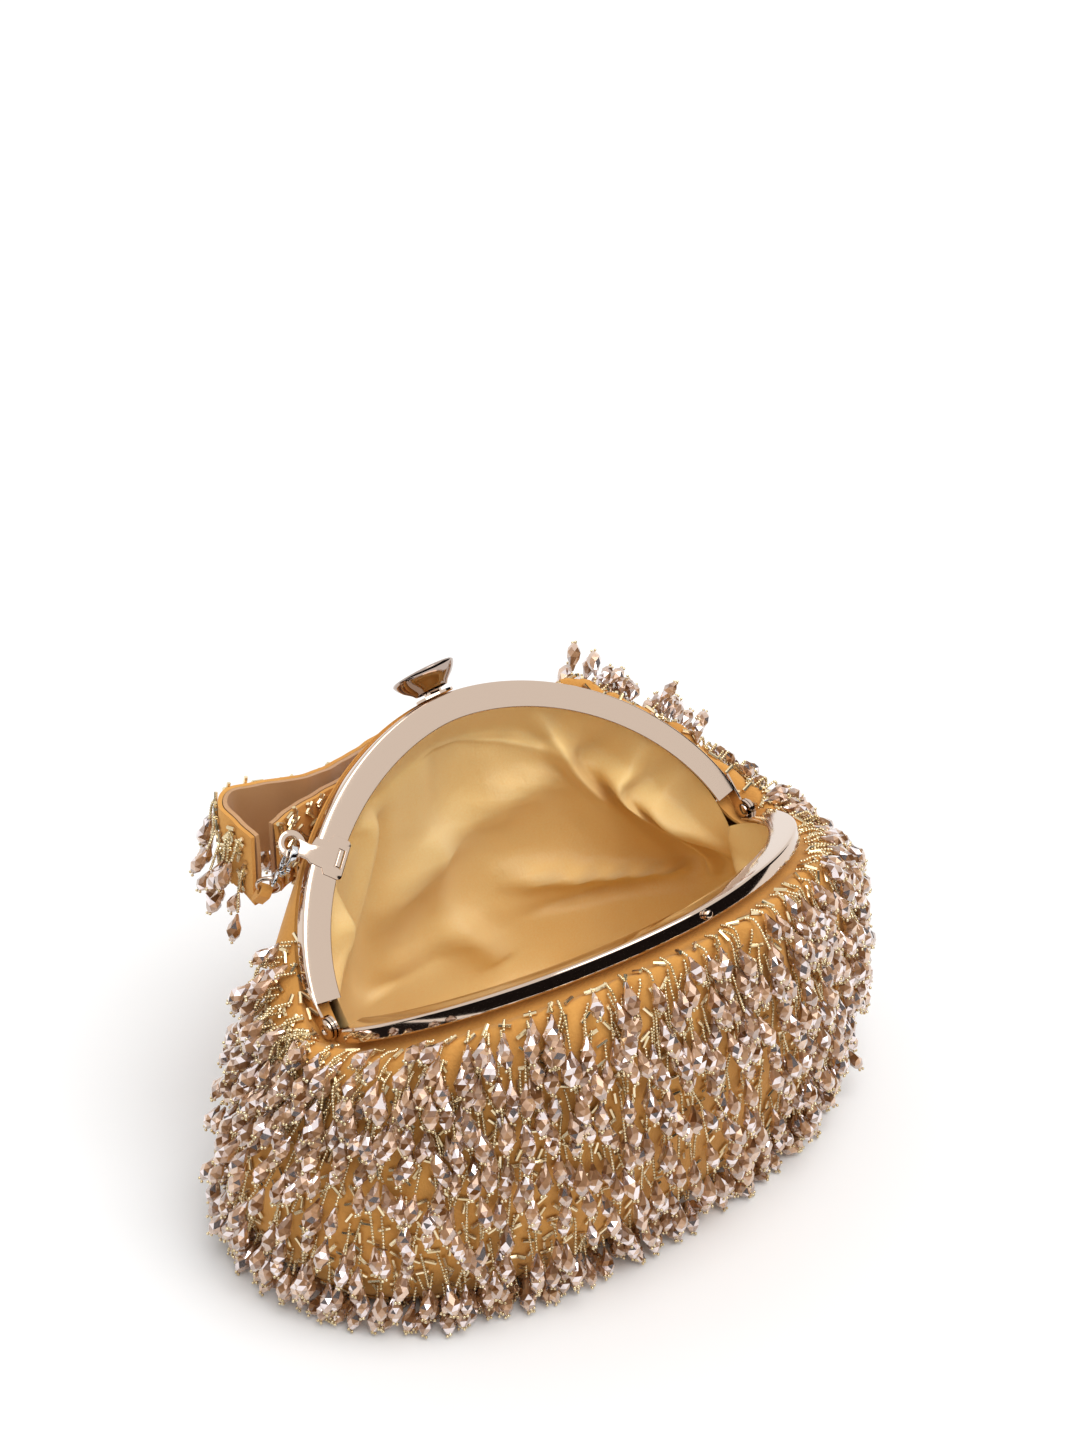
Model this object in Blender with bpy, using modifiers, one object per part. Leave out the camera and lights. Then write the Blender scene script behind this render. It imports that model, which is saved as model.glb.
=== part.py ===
"""Beaded potli bag on a dome frame, standing open: metres, +Z up, front to -Y.

The origin is on the floor, under the middle of the frame's hinge axis. Both frame bars
turn on that axis, which runs along X at HINGE_HEIGHT.
"""

import math

import bmesh
import bpy
from mathutils import Matrix, Vector

MM = 0.001

# Frame bars: a bent channel, open towards the middle of its arch
FRAME_WIDTH = 200 * MM
FRAME_RISE = 86.5 * MM
ARCH_POWER = 1.84
HINGE_HEIGHT = 92 * MM
REAR_LEAN = math.radians(43.9)
FRONT_LEAN = math.radians(59.8)
SHEET = 0.9 * MM
FACE_WIDTH = 10.4 * MM
BACK_WIDTH = 9.0 * MM
RIM_DEPTH = 5.7 * MM
RIM_ROUND = 0.8 * MM
FACE_GAP = 0.25 * MM
LIMB_CUT = 9 * MM
ARCH_STEPS = 30

# Hinges: each bar's ear, side by side on one rivet
EAR_RADIUS = 4.2 * MM
EAR_OVERLAP = 3.5 * MM
REAR_EAR_INSET = 1.9 * MM
EAR_GAP = 0.3 * MM
RIVET_RADIUS = 1.4 * MM
RUNNING_GAP = 0.1 * MM
RIVET_HEAD = 3.6 * MM
RIVET_TAIL = 2.6 * MM
HEAD_THICK = 1.1 * MM
SEAT = 0.3 * MM

# Clasp: a cup on a tipping post, which holds down a stud on the other bar
CUP_TOP_RADIUS = 12.0 * MM
CUP_LIP_RADIUS = 6.4 * MM
CUP_HEIGHT = 7.1 * MM
CUP_WALL = 0.8 * MM
LIP_HEIGHT = 2.7 * MM
SADDLE_LENGTH = 16 * MM
SADDLE_THICK = 0.9 * MM
SADDLE_HALF = 4.2 * MM
LUG_WIDTH = 0.9 * MM
POST_RADIUS = 1.8 * MM
EYE_RADIUS = 1.5 * MM
EYE_WIDTH = 3.6 * MM
CLASP_PIN_RADIUS = 0.7 * MM
STUD_RADIUS = 0.9 * MM
STUD_HEAD = 1.4 * MM
STUD_HEIGHT = 2.3 * MM

# Strap lug: a stamped clip on the rear bar's left limb
LUG_RISE = 56 * MM
LUG_PLATE = 0.9 * MM
LUG_PROUD = 0.3 * MM
LUG_LENGTH = 15 * MM
LUG_RING_REACH = 8.2 * MM
LUG_RING_SHIFT = 2 * MM
LUG_RING_RADIUS = 5.0 * MM
LUG_HOLE_RADIUS = 2.9 * MM
LUG_NECK = 5.6 * MM
SLOT_WIDTH = 2.4 * MM
SLOT_LENGTH = 7.0 * MM

# Lobster claw, hooked in the lug
CLAW_LENGTH = 13 * MM
CLAW_WIDTH = 9.0 * MM
CLAW_BAR = 1.9 * MM
CLAW_THICK = 2.4 * MM
CLAW_TURN = math.radians(8)
CLAW_HOLD = 2.9 * MM
CLAW_POINT = Vector((-84, 59, 109)) * MM
GATE_THICK = 1.3 * MM
GATE_GAP = 0.3 * MM
GATE_PIN_RADIUS = 0.5 * MM
NECK_LENGTH = 1.8 * MM
NECK_RADIUS = 0.9 * MM
SWIVEL_RADIUS = 2.4 * MM
SWIVEL_WIRE = 0.7 * MM
STRAP_RING_RADIUS = 4.0 * MM
STRAP_RING_WIRE = 0.8 * MM
TAB_REACH = 6.5 * MM
TAB_WIDTH = 4 * MM

# Wrist strap: two layers of band, standing on edge behind the frame
STRAP_WIDTH = 28 * MM
STRAP_LAYER = 1.5 * MM
STRAP_GAP = 0.3 * MM
STRAP_STEPS = 46
STRAP_DROPS = (31, 42, 2)
STRAP_ZONE = Vector((52, 30, 84)) * MM

# Pouch: sections from the floor up, as height, left, right, front and rear reach, roundness
SECTIONS = (
    (0.5, 111, 101, 61, 47, 2.4),
    (5, 122, 111, 69, 55, 2.4),
    (20, 129, 118, 76, 61, 2.35),
    (40, 129, 120, 81, 63, 2.3),
    (62, 123, 120, 86, 63, 2.2),
    (80, 115, 119, 88, 62, 2.1),
)
# Rows that turn in to the frame: depth inside the arch's edge, distance behind the mating
# face, and where the row passes over the hinge, beyond the frame's side and above the axis
SHELL_SECTIONS = (0, 1, 2, 3, 5)
BRIM = (
    (-5.5, 9.0, 9, 2.0),
    (2.0, 9.8, 2, -8.5),
    (8.0, 6.05, -5, -10.0),
)
SIDE_BLEND = 0.42
GATHERS = 14
GATHER_DEPTH = 1.8 * MM
GATHER_SHARE = (0, 0, 0, 0.3, 0.6, 1)
SHOULDER = 3 * MM
TUCK_REACH = (14 * MM, 36 * MM)
TUCK_DEPTH = 6 * MM
TUCK_BACK = 2 * MM
COLUMNS = 48
GUSSET_COLUMNS = 3
SEAM_SHARE = 0.07
VELVET = 1.4 * MM
LAYER_GAP = 0.35 * MM
INTERLINING = 1.3 * MM
BASE_THICK = 2.05 * MM
BOARD_THICK = 2.0 * MM
LINING = 0.9 * MM
LINING_SLACK = 3.5 * MM
LINING_SECTIONS = (1, 2, 3, 4)
LINING_SPLIT = 2
LINING_BRIM = (
    (24, 24, -3, -22),
    (14, 17, -9, -16),
    (9.6, 2.4, -11.5, -11),
)
FOLD_DEPTH = 4 * MM
SHELL_SLACK = 0.3 * MM
SHELL_TOP = 0.45
CORD_RADIUS = 1.2 * MM
CORD_START = 18 * MM

# Bead drops: a strand and a cut bead
STRAND = 1.2 * MM
STRAND_LENGTH = 11 * MM
STRAND_LIFT = 6.2 * MM
BEAD_WIDTH = 5.4 * MM
BEAD_TOP = 3.4 * MM
BEAD_TAIL = 4.6 * MM
FLOOR_GAP = 0.6 * MM
DROP_SPACING = 4
DROP_SHIFT = 2

COLOURS = {
    "rose_gold": ((0.78, 0.66, 0.55), 0.14, 1.0),
    "chrome": ((0.72, 0.73, 0.75), 0.12, 1.0),
    "velvet": ((0.72, 0.40, 0.10), 0.85, 0.0),
    "satin": ((0.80, 0.58, 0.26), 0.45, 0.0),
    "twine": ((0.62, 0.50, 0.34), 0.9, 0.0),
    "foam": ((0.85, 0.82, 0.74), 0.9, 0.0),
    "board": ((0.45, 0.36, 0.26), 0.8, 0.0),
}


def clear_scene():
    for obj in list(bpy.data.objects):
        bpy.data.objects.remove(obj, do_unlink=True)


def collection(name):
    found = bpy.data.collections.new(name)
    bpy.context.scene.collection.children.link(found)
    return found


def material(name):
    """The material of that name, made the first time it is asked for."""
    found = bpy.data.materials.get(name)
    if found:
        return found
    colour, roughness, metallic = COLOURS[name]
    found = bpy.data.materials.new(name)
    found.use_nodes = True
    shader = found.node_tree.nodes["Principled BSDF"]
    shader.inputs["Base Color"].default_value = (*colour, 1)
    shader.inputs["Roughness"].default_value = roughness
    shader.inputs["Metallic"].default_value = metallic
    return found


def place(obj, finish=None, matrix=None, parent=None, smooth=30):
    """Links a piece, with its material, its place and its carrier."""
    parts.objects.link(obj)
    if finish:
        obj.data.materials.clear()
        obj.data.materials.append(material(finish))
    if matrix:
        obj.matrix_local = matrix
    if parent:
        obj.parent = parent
    if smooth and obj.type == "MESH":
        obj.data.shade_smooth()
        obj.data.set_sharp_from_angle(angle=math.radians(smooth))
    return obj


def cutter(obj):
    cutters.objects.link(obj)
    obj.hide_render = True
    obj.display_type = "WIRE"
    return obj


def axis_empty(name, matrix, parent=None):
    obj = bpy.data.objects.new(name, None)
    parts.objects.link(obj)
    obj.empty_display_size = 10 * MM
    obj.matrix_local = matrix
    obj.parent = parent
    return obj


def basis(x, y, z, origin):
    """A matrix whose columns are the three directions, at the origin given."""
    found = Matrix((x, y, z)).transposed().to_4x4()
    found.translation = origin
    return found


def boolean(obj, other, operation):
    modifier = obj.modifiers.new(operation.lower(), "BOOLEAN")
    modifier.operation = operation
    modifier.solver = "EXACT"
    modifier.object = other
    return modifier


def meshed(obj):
    """A curve or a modified piece as a plain mesh, with its caps welded."""
    bpy.context.view_layer.update()
    graph = bpy.context.evaluated_depsgraph_get()
    mesh = bpy.data.meshes.new_from_object(obj.evaluated_get(graph))
    shape = bmesh.new()
    shape.from_mesh(mesh)
    bmesh.ops.remove_doubles(shape, verts=shape.verts, dist=0.001 * MM)
    bmesh.ops.recalc_face_normals(shape, faces=shape.faces)
    shape.to_mesh(mesh)
    shape.free()
    name, matrix = obj.name, obj.matrix_world.copy()
    bpy.data.objects.remove(obj, do_unlink=True)
    found = bpy.data.objects.new(name, mesh)
    found.matrix_world = matrix
    return found


def outline_plate(name, outlines, thick):
    """A flat plate from closed outlines, the first its edge and the rest its holes."""
    curve = bpy.data.curves.new(name, "CURVE")
    curve.dimensions = "2D"
    curve.fill_mode = "BOTH"
    curve.extrude = thick / 2
    for outline in outlines:
        spline = curve.splines.new("POLY")
        spline.points.add(len(outline) - 1)
        for point, (x, y) in zip(spline.points, outline):
            point.co = (x, y, 0, 1)
        spline.use_cyclic_u = True
    obj = bpy.data.objects.new(name, curve)
    parts.objects.link(obj)
    return meshed(obj)


def arc(x, y, radius, start, end, steps):
    """Points on a circle about x, y, from one angle in degrees to another."""
    angles = [math.radians(start + (end - start) * i / steps) for i in range(steps + 1)]
    return [(x + radius * math.cos(a), y + radius * math.sin(a)) for a in angles]


def circle(x, y, radius, steps):
    return arc(x, y, radius, 0, 360, steps)[:-1]


def turned(name, profile, steps=24):
    """A turned piece about its own Z, from a profile that runs down its outer side."""
    mesh = bpy.data.meshes.new(name)
    points = [(x, 0, z) for x, z in profile]
    mesh.from_pydata(points, [(i, i + 1) for i in range(len(points) - 1)], [])
    obj = bpy.data.objects.new(name, mesh)
    screw = obj.modifiers.new("turn", "SCREW")
    screw.steps = steps
    screw.render_steps = steps
    screw.use_merge_vertices = True
    screw.merge_threshold = 0.00001
    screw.use_smooth_shade = True
    return obj


def tube(name, points, radius, cyclic=False, resolution=2):
    curve = bpy.data.curves.new(name, "CURVE")
    curve.dimensions = "3D"
    curve.bevel_depth = radius
    curve.bevel_resolution = resolution
    curve.use_fill_caps = not cyclic
    spline = curve.splines.new("POLY")
    spline.points.add(len(points) - 1)
    for point, place_at in zip(spline.points, points):
        point.co = (*place_at, 1)
    spline.use_cyclic_u = cyclic
    return bpy.data.objects.new(name, curve)


def bar_solid(name, radius, length, axis, middle, steps=20):
    """A round bar as a mesh, along the axis given."""
    shape = bmesh.new()
    bmesh.ops.create_cone(
        shape, cap_ends=True, segments=steps, radius1=radius, radius2=radius, depth=length
    )
    turn = Vector((0, 0, 1)).rotation_difference(Vector(axis)).to_matrix().to_4x4()
    bmesh.ops.transform(shape, matrix=Matrix.Translation(middle) @ turn, verts=shape.verts)
    mesh = bpy.data.meshes.new(name)
    shape.to_mesh(mesh)
    shape.free()
    return bpy.data.objects.new(name, mesh)


def block(name, low, high):
    shape = bmesh.new()
    bmesh.ops.create_cube(shape, size=1)
    low, high = Vector(low), Vector(high)
    size = Matrix.Diagonal((*(high - low), 1))
    bmesh.ops.transform(
        shape, matrix=Matrix.Translation((low + high) / 2) @ size, verts=shape.verts
    )
    mesh = bpy.data.meshes.new(name)
    shape.to_mesh(mesh)
    shape.free()
    return bpy.data.objects.new(name, mesh)


def signed_power(value, power):
    return math.copysign(abs(value) ** power, value)


def arch_point(angle, depth=0.0):
    """A point of the arch in its own plane: across, and up from the hinge axis."""
    across = (FRAME_WIDTH / 2 - depth) * signed_power(math.cos(angle), 2 / ARCH_POWER)
    up = (FRAME_RISE - depth) * signed_power(math.sin(angle), 2 / ARCH_POWER)
    return across, up


def arch_angle(rise):
    """The arch's angle at a height above the hinge axis, on the right-hand limb."""
    return math.asin((rise / FRAME_RISE) ** (ARCH_POWER / 2))


def lean_of(side):
    return REAR_LEAN if side > 0 else FRONT_LEAN


def frame_point(side, across, up, behind):
    """World place of a point of a bar: side is 1 for the rear bar and -1 for the front."""
    lean = lean_of(side)
    y = side * (up * math.sin(lean) + behind * math.cos(lean))
    z = HINGE_HEIGHT + up * math.cos(lean) - behind * math.sin(lean)
    return Vector((across, y, z))


def bar_matrix(side):
    """Where a bar's own plane lies: X across, Y up the arch, and Z off the mating face."""
    lean = lean_of(side)
    up = Vector((0, side * math.sin(lean), math.cos(lean)))
    off = Vector((0, -math.cos(lean), side * math.sin(lean)))
    return basis(Vector((1, 0, 0)), up, off, Vector((0, 0, HINGE_HEIGHT)))


def channel_profile(side):
    """The channel's section: inward from the arch's edge, and off the mating face."""
    r = RIM_ROUND
    soft = 0.3 * r
    back = RIM_DEPTH
    points = [
        (FACE_WIDTH, FACE_GAP),
        (FACE_WIDTH, FACE_GAP + SHEET),
        (SHEET, FACE_GAP + SHEET),
        (SHEET, back - SHEET),
        (BACK_WIDTH, back - SHEET),
        (BACK_WIDTH, back),
        (r, back),
        (soft, back - soft),
        (0, back - r),
        (0, FACE_GAP + r),
        (soft, FACE_GAP + soft),
        (r, FACE_GAP),
    ]
    return [(-inward, -side * behind) for inward, behind in points]


def frame_channel(name, side):
    """One bent channel, swept along its arch from limb end to limb end."""
    profile = bpy.data.curves.new(name + "_section", "CURVE")
    profile.dimensions = "2D"
    spline = profile.splines.new("POLY")
    section = channel_profile(side)
    spline.points.add(len(section) - 1)
    for point, (x, y) in zip(spline.points, section):
        point.co = (x, y, 0, 1)
    spline.use_cyclic_u = True
    profile_obj = cutter(bpy.data.objects.new(name + "_section", profile))

    curve = bpy.data.curves.new(name, "CURVE")
    curve.dimensions = "2D"
    curve.bevel_mode = "OBJECT"
    curve.bevel_object = profile_obj
    curve.use_fill_caps = True
    spline = curve.splines.new("POLY")
    start = arch_angle(LIMB_CUT)
    spline.points.add(ARCH_STEPS)
    for i, point in enumerate(spline.points):
        across, up = arch_point(start + (math.pi - 2 * start) * i / ARCH_STEPS)
        point.co = (across, up, 0, 1)
    obj = bpy.data.objects.new(name, curve)
    parts.objects.link(obj)
    return meshed(obj)


def ear_middle(side):
    """How far from the middle plane an ear's outer and inner faces lie."""
    outer = FRAME_WIDTH / 2 - REAR_EAR_INSET + SHEET
    if side < 0:
        outer -= SHEET + EAR_GAP
    return outer, outer - SHEET


def add_ears(bar, axis, side):
    """Joins both hinge ears to a bar: a round lobe on the axis, and a strip up the limb.

    The front bar's ears lie further in, so a step joins each to its limb.
    """
    outer, inner = ear_middle(side)
    middle = (outer + inner) / 2
    top = LIMB_CUT + EAR_OVERLAP
    limb = arch_point(arch_angle(top))[0] - SHEET / 2
    levels = sorted((-side * (FACE_GAP + 0.1 * MM), -side * (RIM_DEPTH - SEAT)))
    for hand in (-1, 1):
        across = sorted((hand * outer, hand * inner))
        lobe = bar_solid("lobe", EAR_RADIUS, SHEET, (1, 0, 0), (hand * middle, 0, 0), 28)
        strip = block("strip", (across[0], 0, levels[0]), (across[1], top, levels[1]))
        joined = [lobe, strip]
        if side < 0:
            ends = sorted((hand * (inner + SHEET / 3), hand * limb))
            low = LIMB_CUT + 1.4 * MM
            joined.append(block("step", (ends[0], low, levels[0]), (ends[1], top, levels[1])))
        bore = bar_solid(
            "bore", RIVET_RADIUS + RUNNING_GAP, 4 * SHEET, (1, 0, 0), (hand * middle, 0, 0)
        )
        for piece in joined + [bore]:
            piece.parent = axis
            boolean(bar, cutter(piece), "DIFFERENCE" if piece is bore else "UNION")


def frame_bars():
    axes = {}
    bars = {}
    for name, side in (("rear_frame_bar", 1), ("front_frame_bar", -1)):
        bar = frame_channel(name, side)
        axis = axis_empty(name + "_axis", bar_matrix(side))
        place(bar, "rose_gold", parent=axis, smooth=35)
        add_ears(bar, axis, side)
        axes[side] = axis
        bars[side] = bar
    for side, name in ((1, "rear_channel_cord"), (-1, "front_channel_cord")):
        depth = SHEET + SEAT + CORD_RADIUS
        behind = (FACE_GAP + RIM_DEPTH) / 2
        start = arch_angle(CORD_START)
        steps = ARCH_STEPS // 2
        points = []
        for i in range(steps + 1):
            across, up = arch_point(start + (math.pi - 2 * start) * i / steps, depth)
            points.append((across, up, -side * behind))
        place(tube(name, points, CORD_RADIUS, resolution=1), "twine", parent=axes[side])
    return axes, bars


def hinge_rivets(axis):
    """The two hinge pins: a ringed head outside both ears, and a small tail inside."""
    outer = ear_middle(1)[0]
    inner = ear_middle(-1)[1]
    head = outer + SEAT
    tail = inner - SEAT
    groove = 0.45 * MM
    profile = [
        (0, head + HEAD_THICK - groove),
        (RIVET_HEAD * 0.36, head + HEAD_THICK - groove),
        (RIVET_HEAD * 0.46, head + HEAD_THICK),
        (RIVET_HEAD * 0.62, head + HEAD_THICK),
        (RIVET_HEAD * 0.72, head + HEAD_THICK - groove),
        (RIVET_HEAD * 0.86, head + HEAD_THICK - 0.3 * groove),
        (RIVET_HEAD, head + HEAD_THICK * 0.4),
        (RIVET_HEAD, head),
        (RIVET_RADIUS, head),
        (RIVET_RADIUS, tail),
        (RIVET_TAIL, tail),
        (RIVET_TAIL * 0.9, tail - HEAD_THICK * 0.5),
        (RIVET_TAIL * 0.5, tail - HEAD_THICK * 0.8),
        (0, tail - HEAD_THICK * 0.9),
    ]
    for hand, name in ((-1, "left_hinge_rivet"), (1, "right_hinge_rivet")):
        across = Vector((hand, 0, 0))
        up = Vector((0, 1, 0))
        matrix = basis(up.cross(across), up, across, Vector((0, 0, 0)))
        place(turned(name, profile, 14), "rose_gold", matrix, axis)


def clasp(axes):
    """The clasp on the rear bar's top: saddle, pin, tipping post and cup; and the stud."""
    middle = (FACE_GAP + RIM_DEPTH) / 2
    seat = FRAME_RISE + SEAT
    pivot = seat + SADDLE_THICK + EYE_RADIUS + 0.25 * MM
    rear, front = axes[1], axes[-1]
    lens = circle(0, 0, SADDLE_LENGTH / 2, 16)
    lens = [(x, y * SADDLE_HALF / (SADDLE_LENGTH / 2)) for x, y in lens]
    saddle = outline_plate("clasp_saddle", [lens], SADDLE_THICK)
    lie = basis(Vector((1, 0, 0)), Vector((0, 0, -1)), Vector((0, 1, 0)), Vector((0, seat + SADDLE_THICK / 2, -middle)))
    place(saddle, "rose_gold", lie, rear)
    gap = (EYE_WIDTH / 2 + 0.2 * MM, EYE_WIDTH / 2 + 0.2 * MM + LUG_WIDTH)
    for hand in (-1, 1):
        ends = (hand * gap[0], hand * gap[1])
        ear = block("ear", (min(ends), -EYE_RADIUS, -SADDLE_THICK * 0.3), (max(ends), EYE_RADIUS, pivot - seat - SADDLE_THICK / 2))
        lobe = bar_solid("lobe", EYE_RADIUS, LUG_WIDTH, (1, 0, 0), (sum(ends) / 2, 0, pivot - seat - SADDLE_THICK / 2), 16)
        bore = bar_solid("bore", CLASP_PIN_RADIUS + RUNNING_GAP, 3 * LUG_WIDTH, (1, 0, 0), (sum(ends) / 2, 0, pivot - seat - SADDLE_THICK / 2), 16)
        for piece, operation in ((ear, "UNION"), (lobe, "UNION"), (bore, "DIFFERENCE")):
            piece.parent = saddle
            boolean(saddle, cutter(piece), operation)

    pin_length = 2 * gap[1] + 0.6 * MM
    pin = bar_solid("clasp_pin", CLASP_PIN_RADIUS, pin_length, (1, 0, 0), (0, pivot, -middle), 16)
    place(pin, "rose_gold", parent=rear)

    tip = axis_empty("clasp_axis", Matrix.Translation((0, pivot, -middle)), rear)
    roof = seat + LIP_HEIGHT + CUP_HEIGHT * 0.45 - pivot
    post = bar_solid("clasp_post", POST_RADIUS * 0.8, roof - SEAT, (0, 1, 0), (0, (roof - SEAT) / 2, 0), 16)
    place(post, "rose_gold", parent=tip)
    eye = bar_solid("eye", EYE_RADIUS, EYE_WIDTH, (1, 0, 0), (0, 0, 0), 18)
    bore = bar_solid("bore", CLASP_PIN_RADIUS + RUNNING_GAP, 2 * EYE_WIDTH, (1, 0, 0), (0, 0, 0), 16)
    for piece, operation in ((eye, "UNION"), (bore, "DIFFERENCE")):
        piece.parent = tip
        boolean(post, cutter(piece), operation)

    lip = seat + LIP_HEIGHT - pivot
    top = lip + CUP_HEIGHT
    profile = [
        (0, top),
        (CUP_TOP_RADIUS - 1.6 * MM, top),
        (CUP_TOP_RADIUS - 1.2 * MM, top + 0.35 * MM),
        (CUP_TOP_RADIUS - 0.4 * MM, top + 0.2 * MM),
        (CUP_TOP_RADIUS, top - 0.5 * MM),
        (CUP_TOP_RADIUS - 0.9 * MM, top - 2.4 * MM),
        (CUP_LIP_RADIUS + 0.5 * MM, lip + 0.7 * MM),
        (CUP_LIP_RADIUS, lip),
        (CUP_LIP_RADIUS - CUP_WALL, lip + 0.1 * MM),
        (CUP_LIP_RADIUS - CUP_WALL + 1.2 * MM, roof - 0.4 * MM),
        (CUP_LIP_RADIUS - CUP_WALL + 0.8 * MM, roof),
        (0, roof),
    ]
    upright = basis(Vector((1, 0, 0)), Vector((0, 0, -1)), Vector((0, 1, 0)), Vector((0, 0, 0)))
    place(turned("clasp_cup", profile, 20), "rose_gold", upright, tip)

    base = FRAME_RISE + 0.02 * MM
    stud = [
        (0, base + STUD_HEIGHT),
        (STUD_HEAD * 0.55, base + STUD_HEIGHT),
        (STUD_HEAD, base + STUD_HEIGHT * 0.82),
        (STUD_HEAD, base + STUD_HEIGHT * 0.62),
        (STUD_RADIUS, base + STUD_HEIGHT * 0.45),
        (STUD_RADIUS, base + SEAT),
        (STUD_HEAD, base + SEAT * 0.7),
        (STUD_HEAD, base),
        (0, base),
    ]
    matrix = basis(Vector((1, 0, 0)), Vector((0, 0, -1)), Vector((0, 1, 0)), Vector((0, 0, middle)))
    place(turned("clasp_stud", stud, 12), "rose_gold", matrix, front)


def lug_frame():
    """The lug's own directions in the rear bar's plane: outward, along the arch, and off."""
    angle = math.pi - arch_angle(LUG_RISE)
    step = 0.01
    at = Vector((*arch_point(angle), 0))
    along = Vector((*arch_point(angle - step), 0)) - Vector((*arch_point(angle + step), 0))
    along.normalize()
    off = Vector((0, 0, 1))
    outward = along.cross(off) * -1
    middle = at + off * (LUG_PROUD - FACE_GAP - LUG_PLATE / 2)
    return basis(outward, off.cross(outward), off, middle)


def strap_lug(axis, bar):
    """The clip, let into a notch in the bar's face: a slotted plate, its ring and tongue."""
    matrix = lug_frame()
    half = LUG_LENGTH / 2
    reach = FACE_WIDTH + 1.6 * MM
    neck = LUG_NECK / 2
    ring = LUG_RING_REACH
    shift = LUG_RING_SHIFT
    rim = 1.6 * MM
    turn = math.degrees(math.asin(neck / LUG_RING_RADIUS))
    outline = [
        (-reach + rim, -half),
        (-reach * 0.45, -half),
        (-reach * 0.3, -half * 0.55),
        (rim * 0.4, -half * 0.55),
        (rim, shift - neck),
        *arc(ring, shift, LUG_RING_RADIUS, 180 + turn, 540 - turn, 20),
        (rim, shift + neck),
        (rim * 0.2, half * 0.75),
        (-reach * 0.35, half * 0.75),
        (-reach * 0.45, half),
        (-reach + rim, half),
        (-reach, half - rim),
        (-reach, -half + rim),
    ]
    hole = circle(ring, shift, LUG_HOLE_RADIUS, 18)
    x = 0.9 * MM - FACE_WIDTH
    slot = [
        (x - SLOT_WIDTH / 2, -SLOT_LENGTH / 2),
        (x + SLOT_WIDTH / 2, -SLOT_LENGTH / 2),
        (x + SLOT_WIDTH / 2, SLOT_LENGTH / 2),
        (x - SLOT_WIDTH / 2, SLOT_LENGTH / 2),
    ]
    plate = outline_plate("strap_lug", [outline, hole, slot], LUG_PLATE)
    place(plate, "rose_gold", matrix, axis)
    under = -LUG_PLATE / 2
    low = (x - SLOT_WIDTH / 2 + SEAT, -SLOT_LENGTH / 2 + SEAT, under - 0.2 * MM)
    high = (x + SLOT_WIDTH / 2 - SEAT, SLOT_LENGTH / 2 - SEAT, -under)
    tongue = place(block("lug_tongue", low, high), "rose_gold", matrix, axis)
    bevel = tongue.modifiers.new("round", "BEVEL")
    bevel.width = 0.3 * MM
    bevel.segments = 2
    deep = under - SHEET - SEAT + LUG_PROUD
    notch = block("notch", (-reach, -half - SEAT, deep), (2 * rim, half + SEAT, RIM_DEPTH))
    notch.parent = axis
    notch.matrix_local = matrix
    boolean(bar, cutter(notch), "DIFFERENCE")


def world_lug_ring():
    return bar_matrix(1) @ lug_frame() @ Vector((LUG_RING_REACH, LUG_RING_SHIFT, 0))


def claw_matrix():
    """The claw's own frame: Y up to the hook's bow, X across it, and Z out of its plane.

    The bow goes round the wire of the lug's ring, on the side the claw hangs to.
    """
    normal = bar_matrix(1).to_3x3() @ Vector((0, 0, 1))
    ring = world_lug_ring()
    hang = (CLAW_POINT - ring).normalized()
    down_ring = (hang - normal * hang.dot(normal)).normalized()
    wire = ring + down_ring * (LUG_RING_RADIUS + LUG_HOLE_RADIUS) / 2
    out = Matrix.Rotation(CLAW_TURN, 3, hang) @ down_ring.cross(normal)
    up = -hang
    return basis(up.cross(out), up, out, wire + up * CLAW_HOLD)


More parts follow.
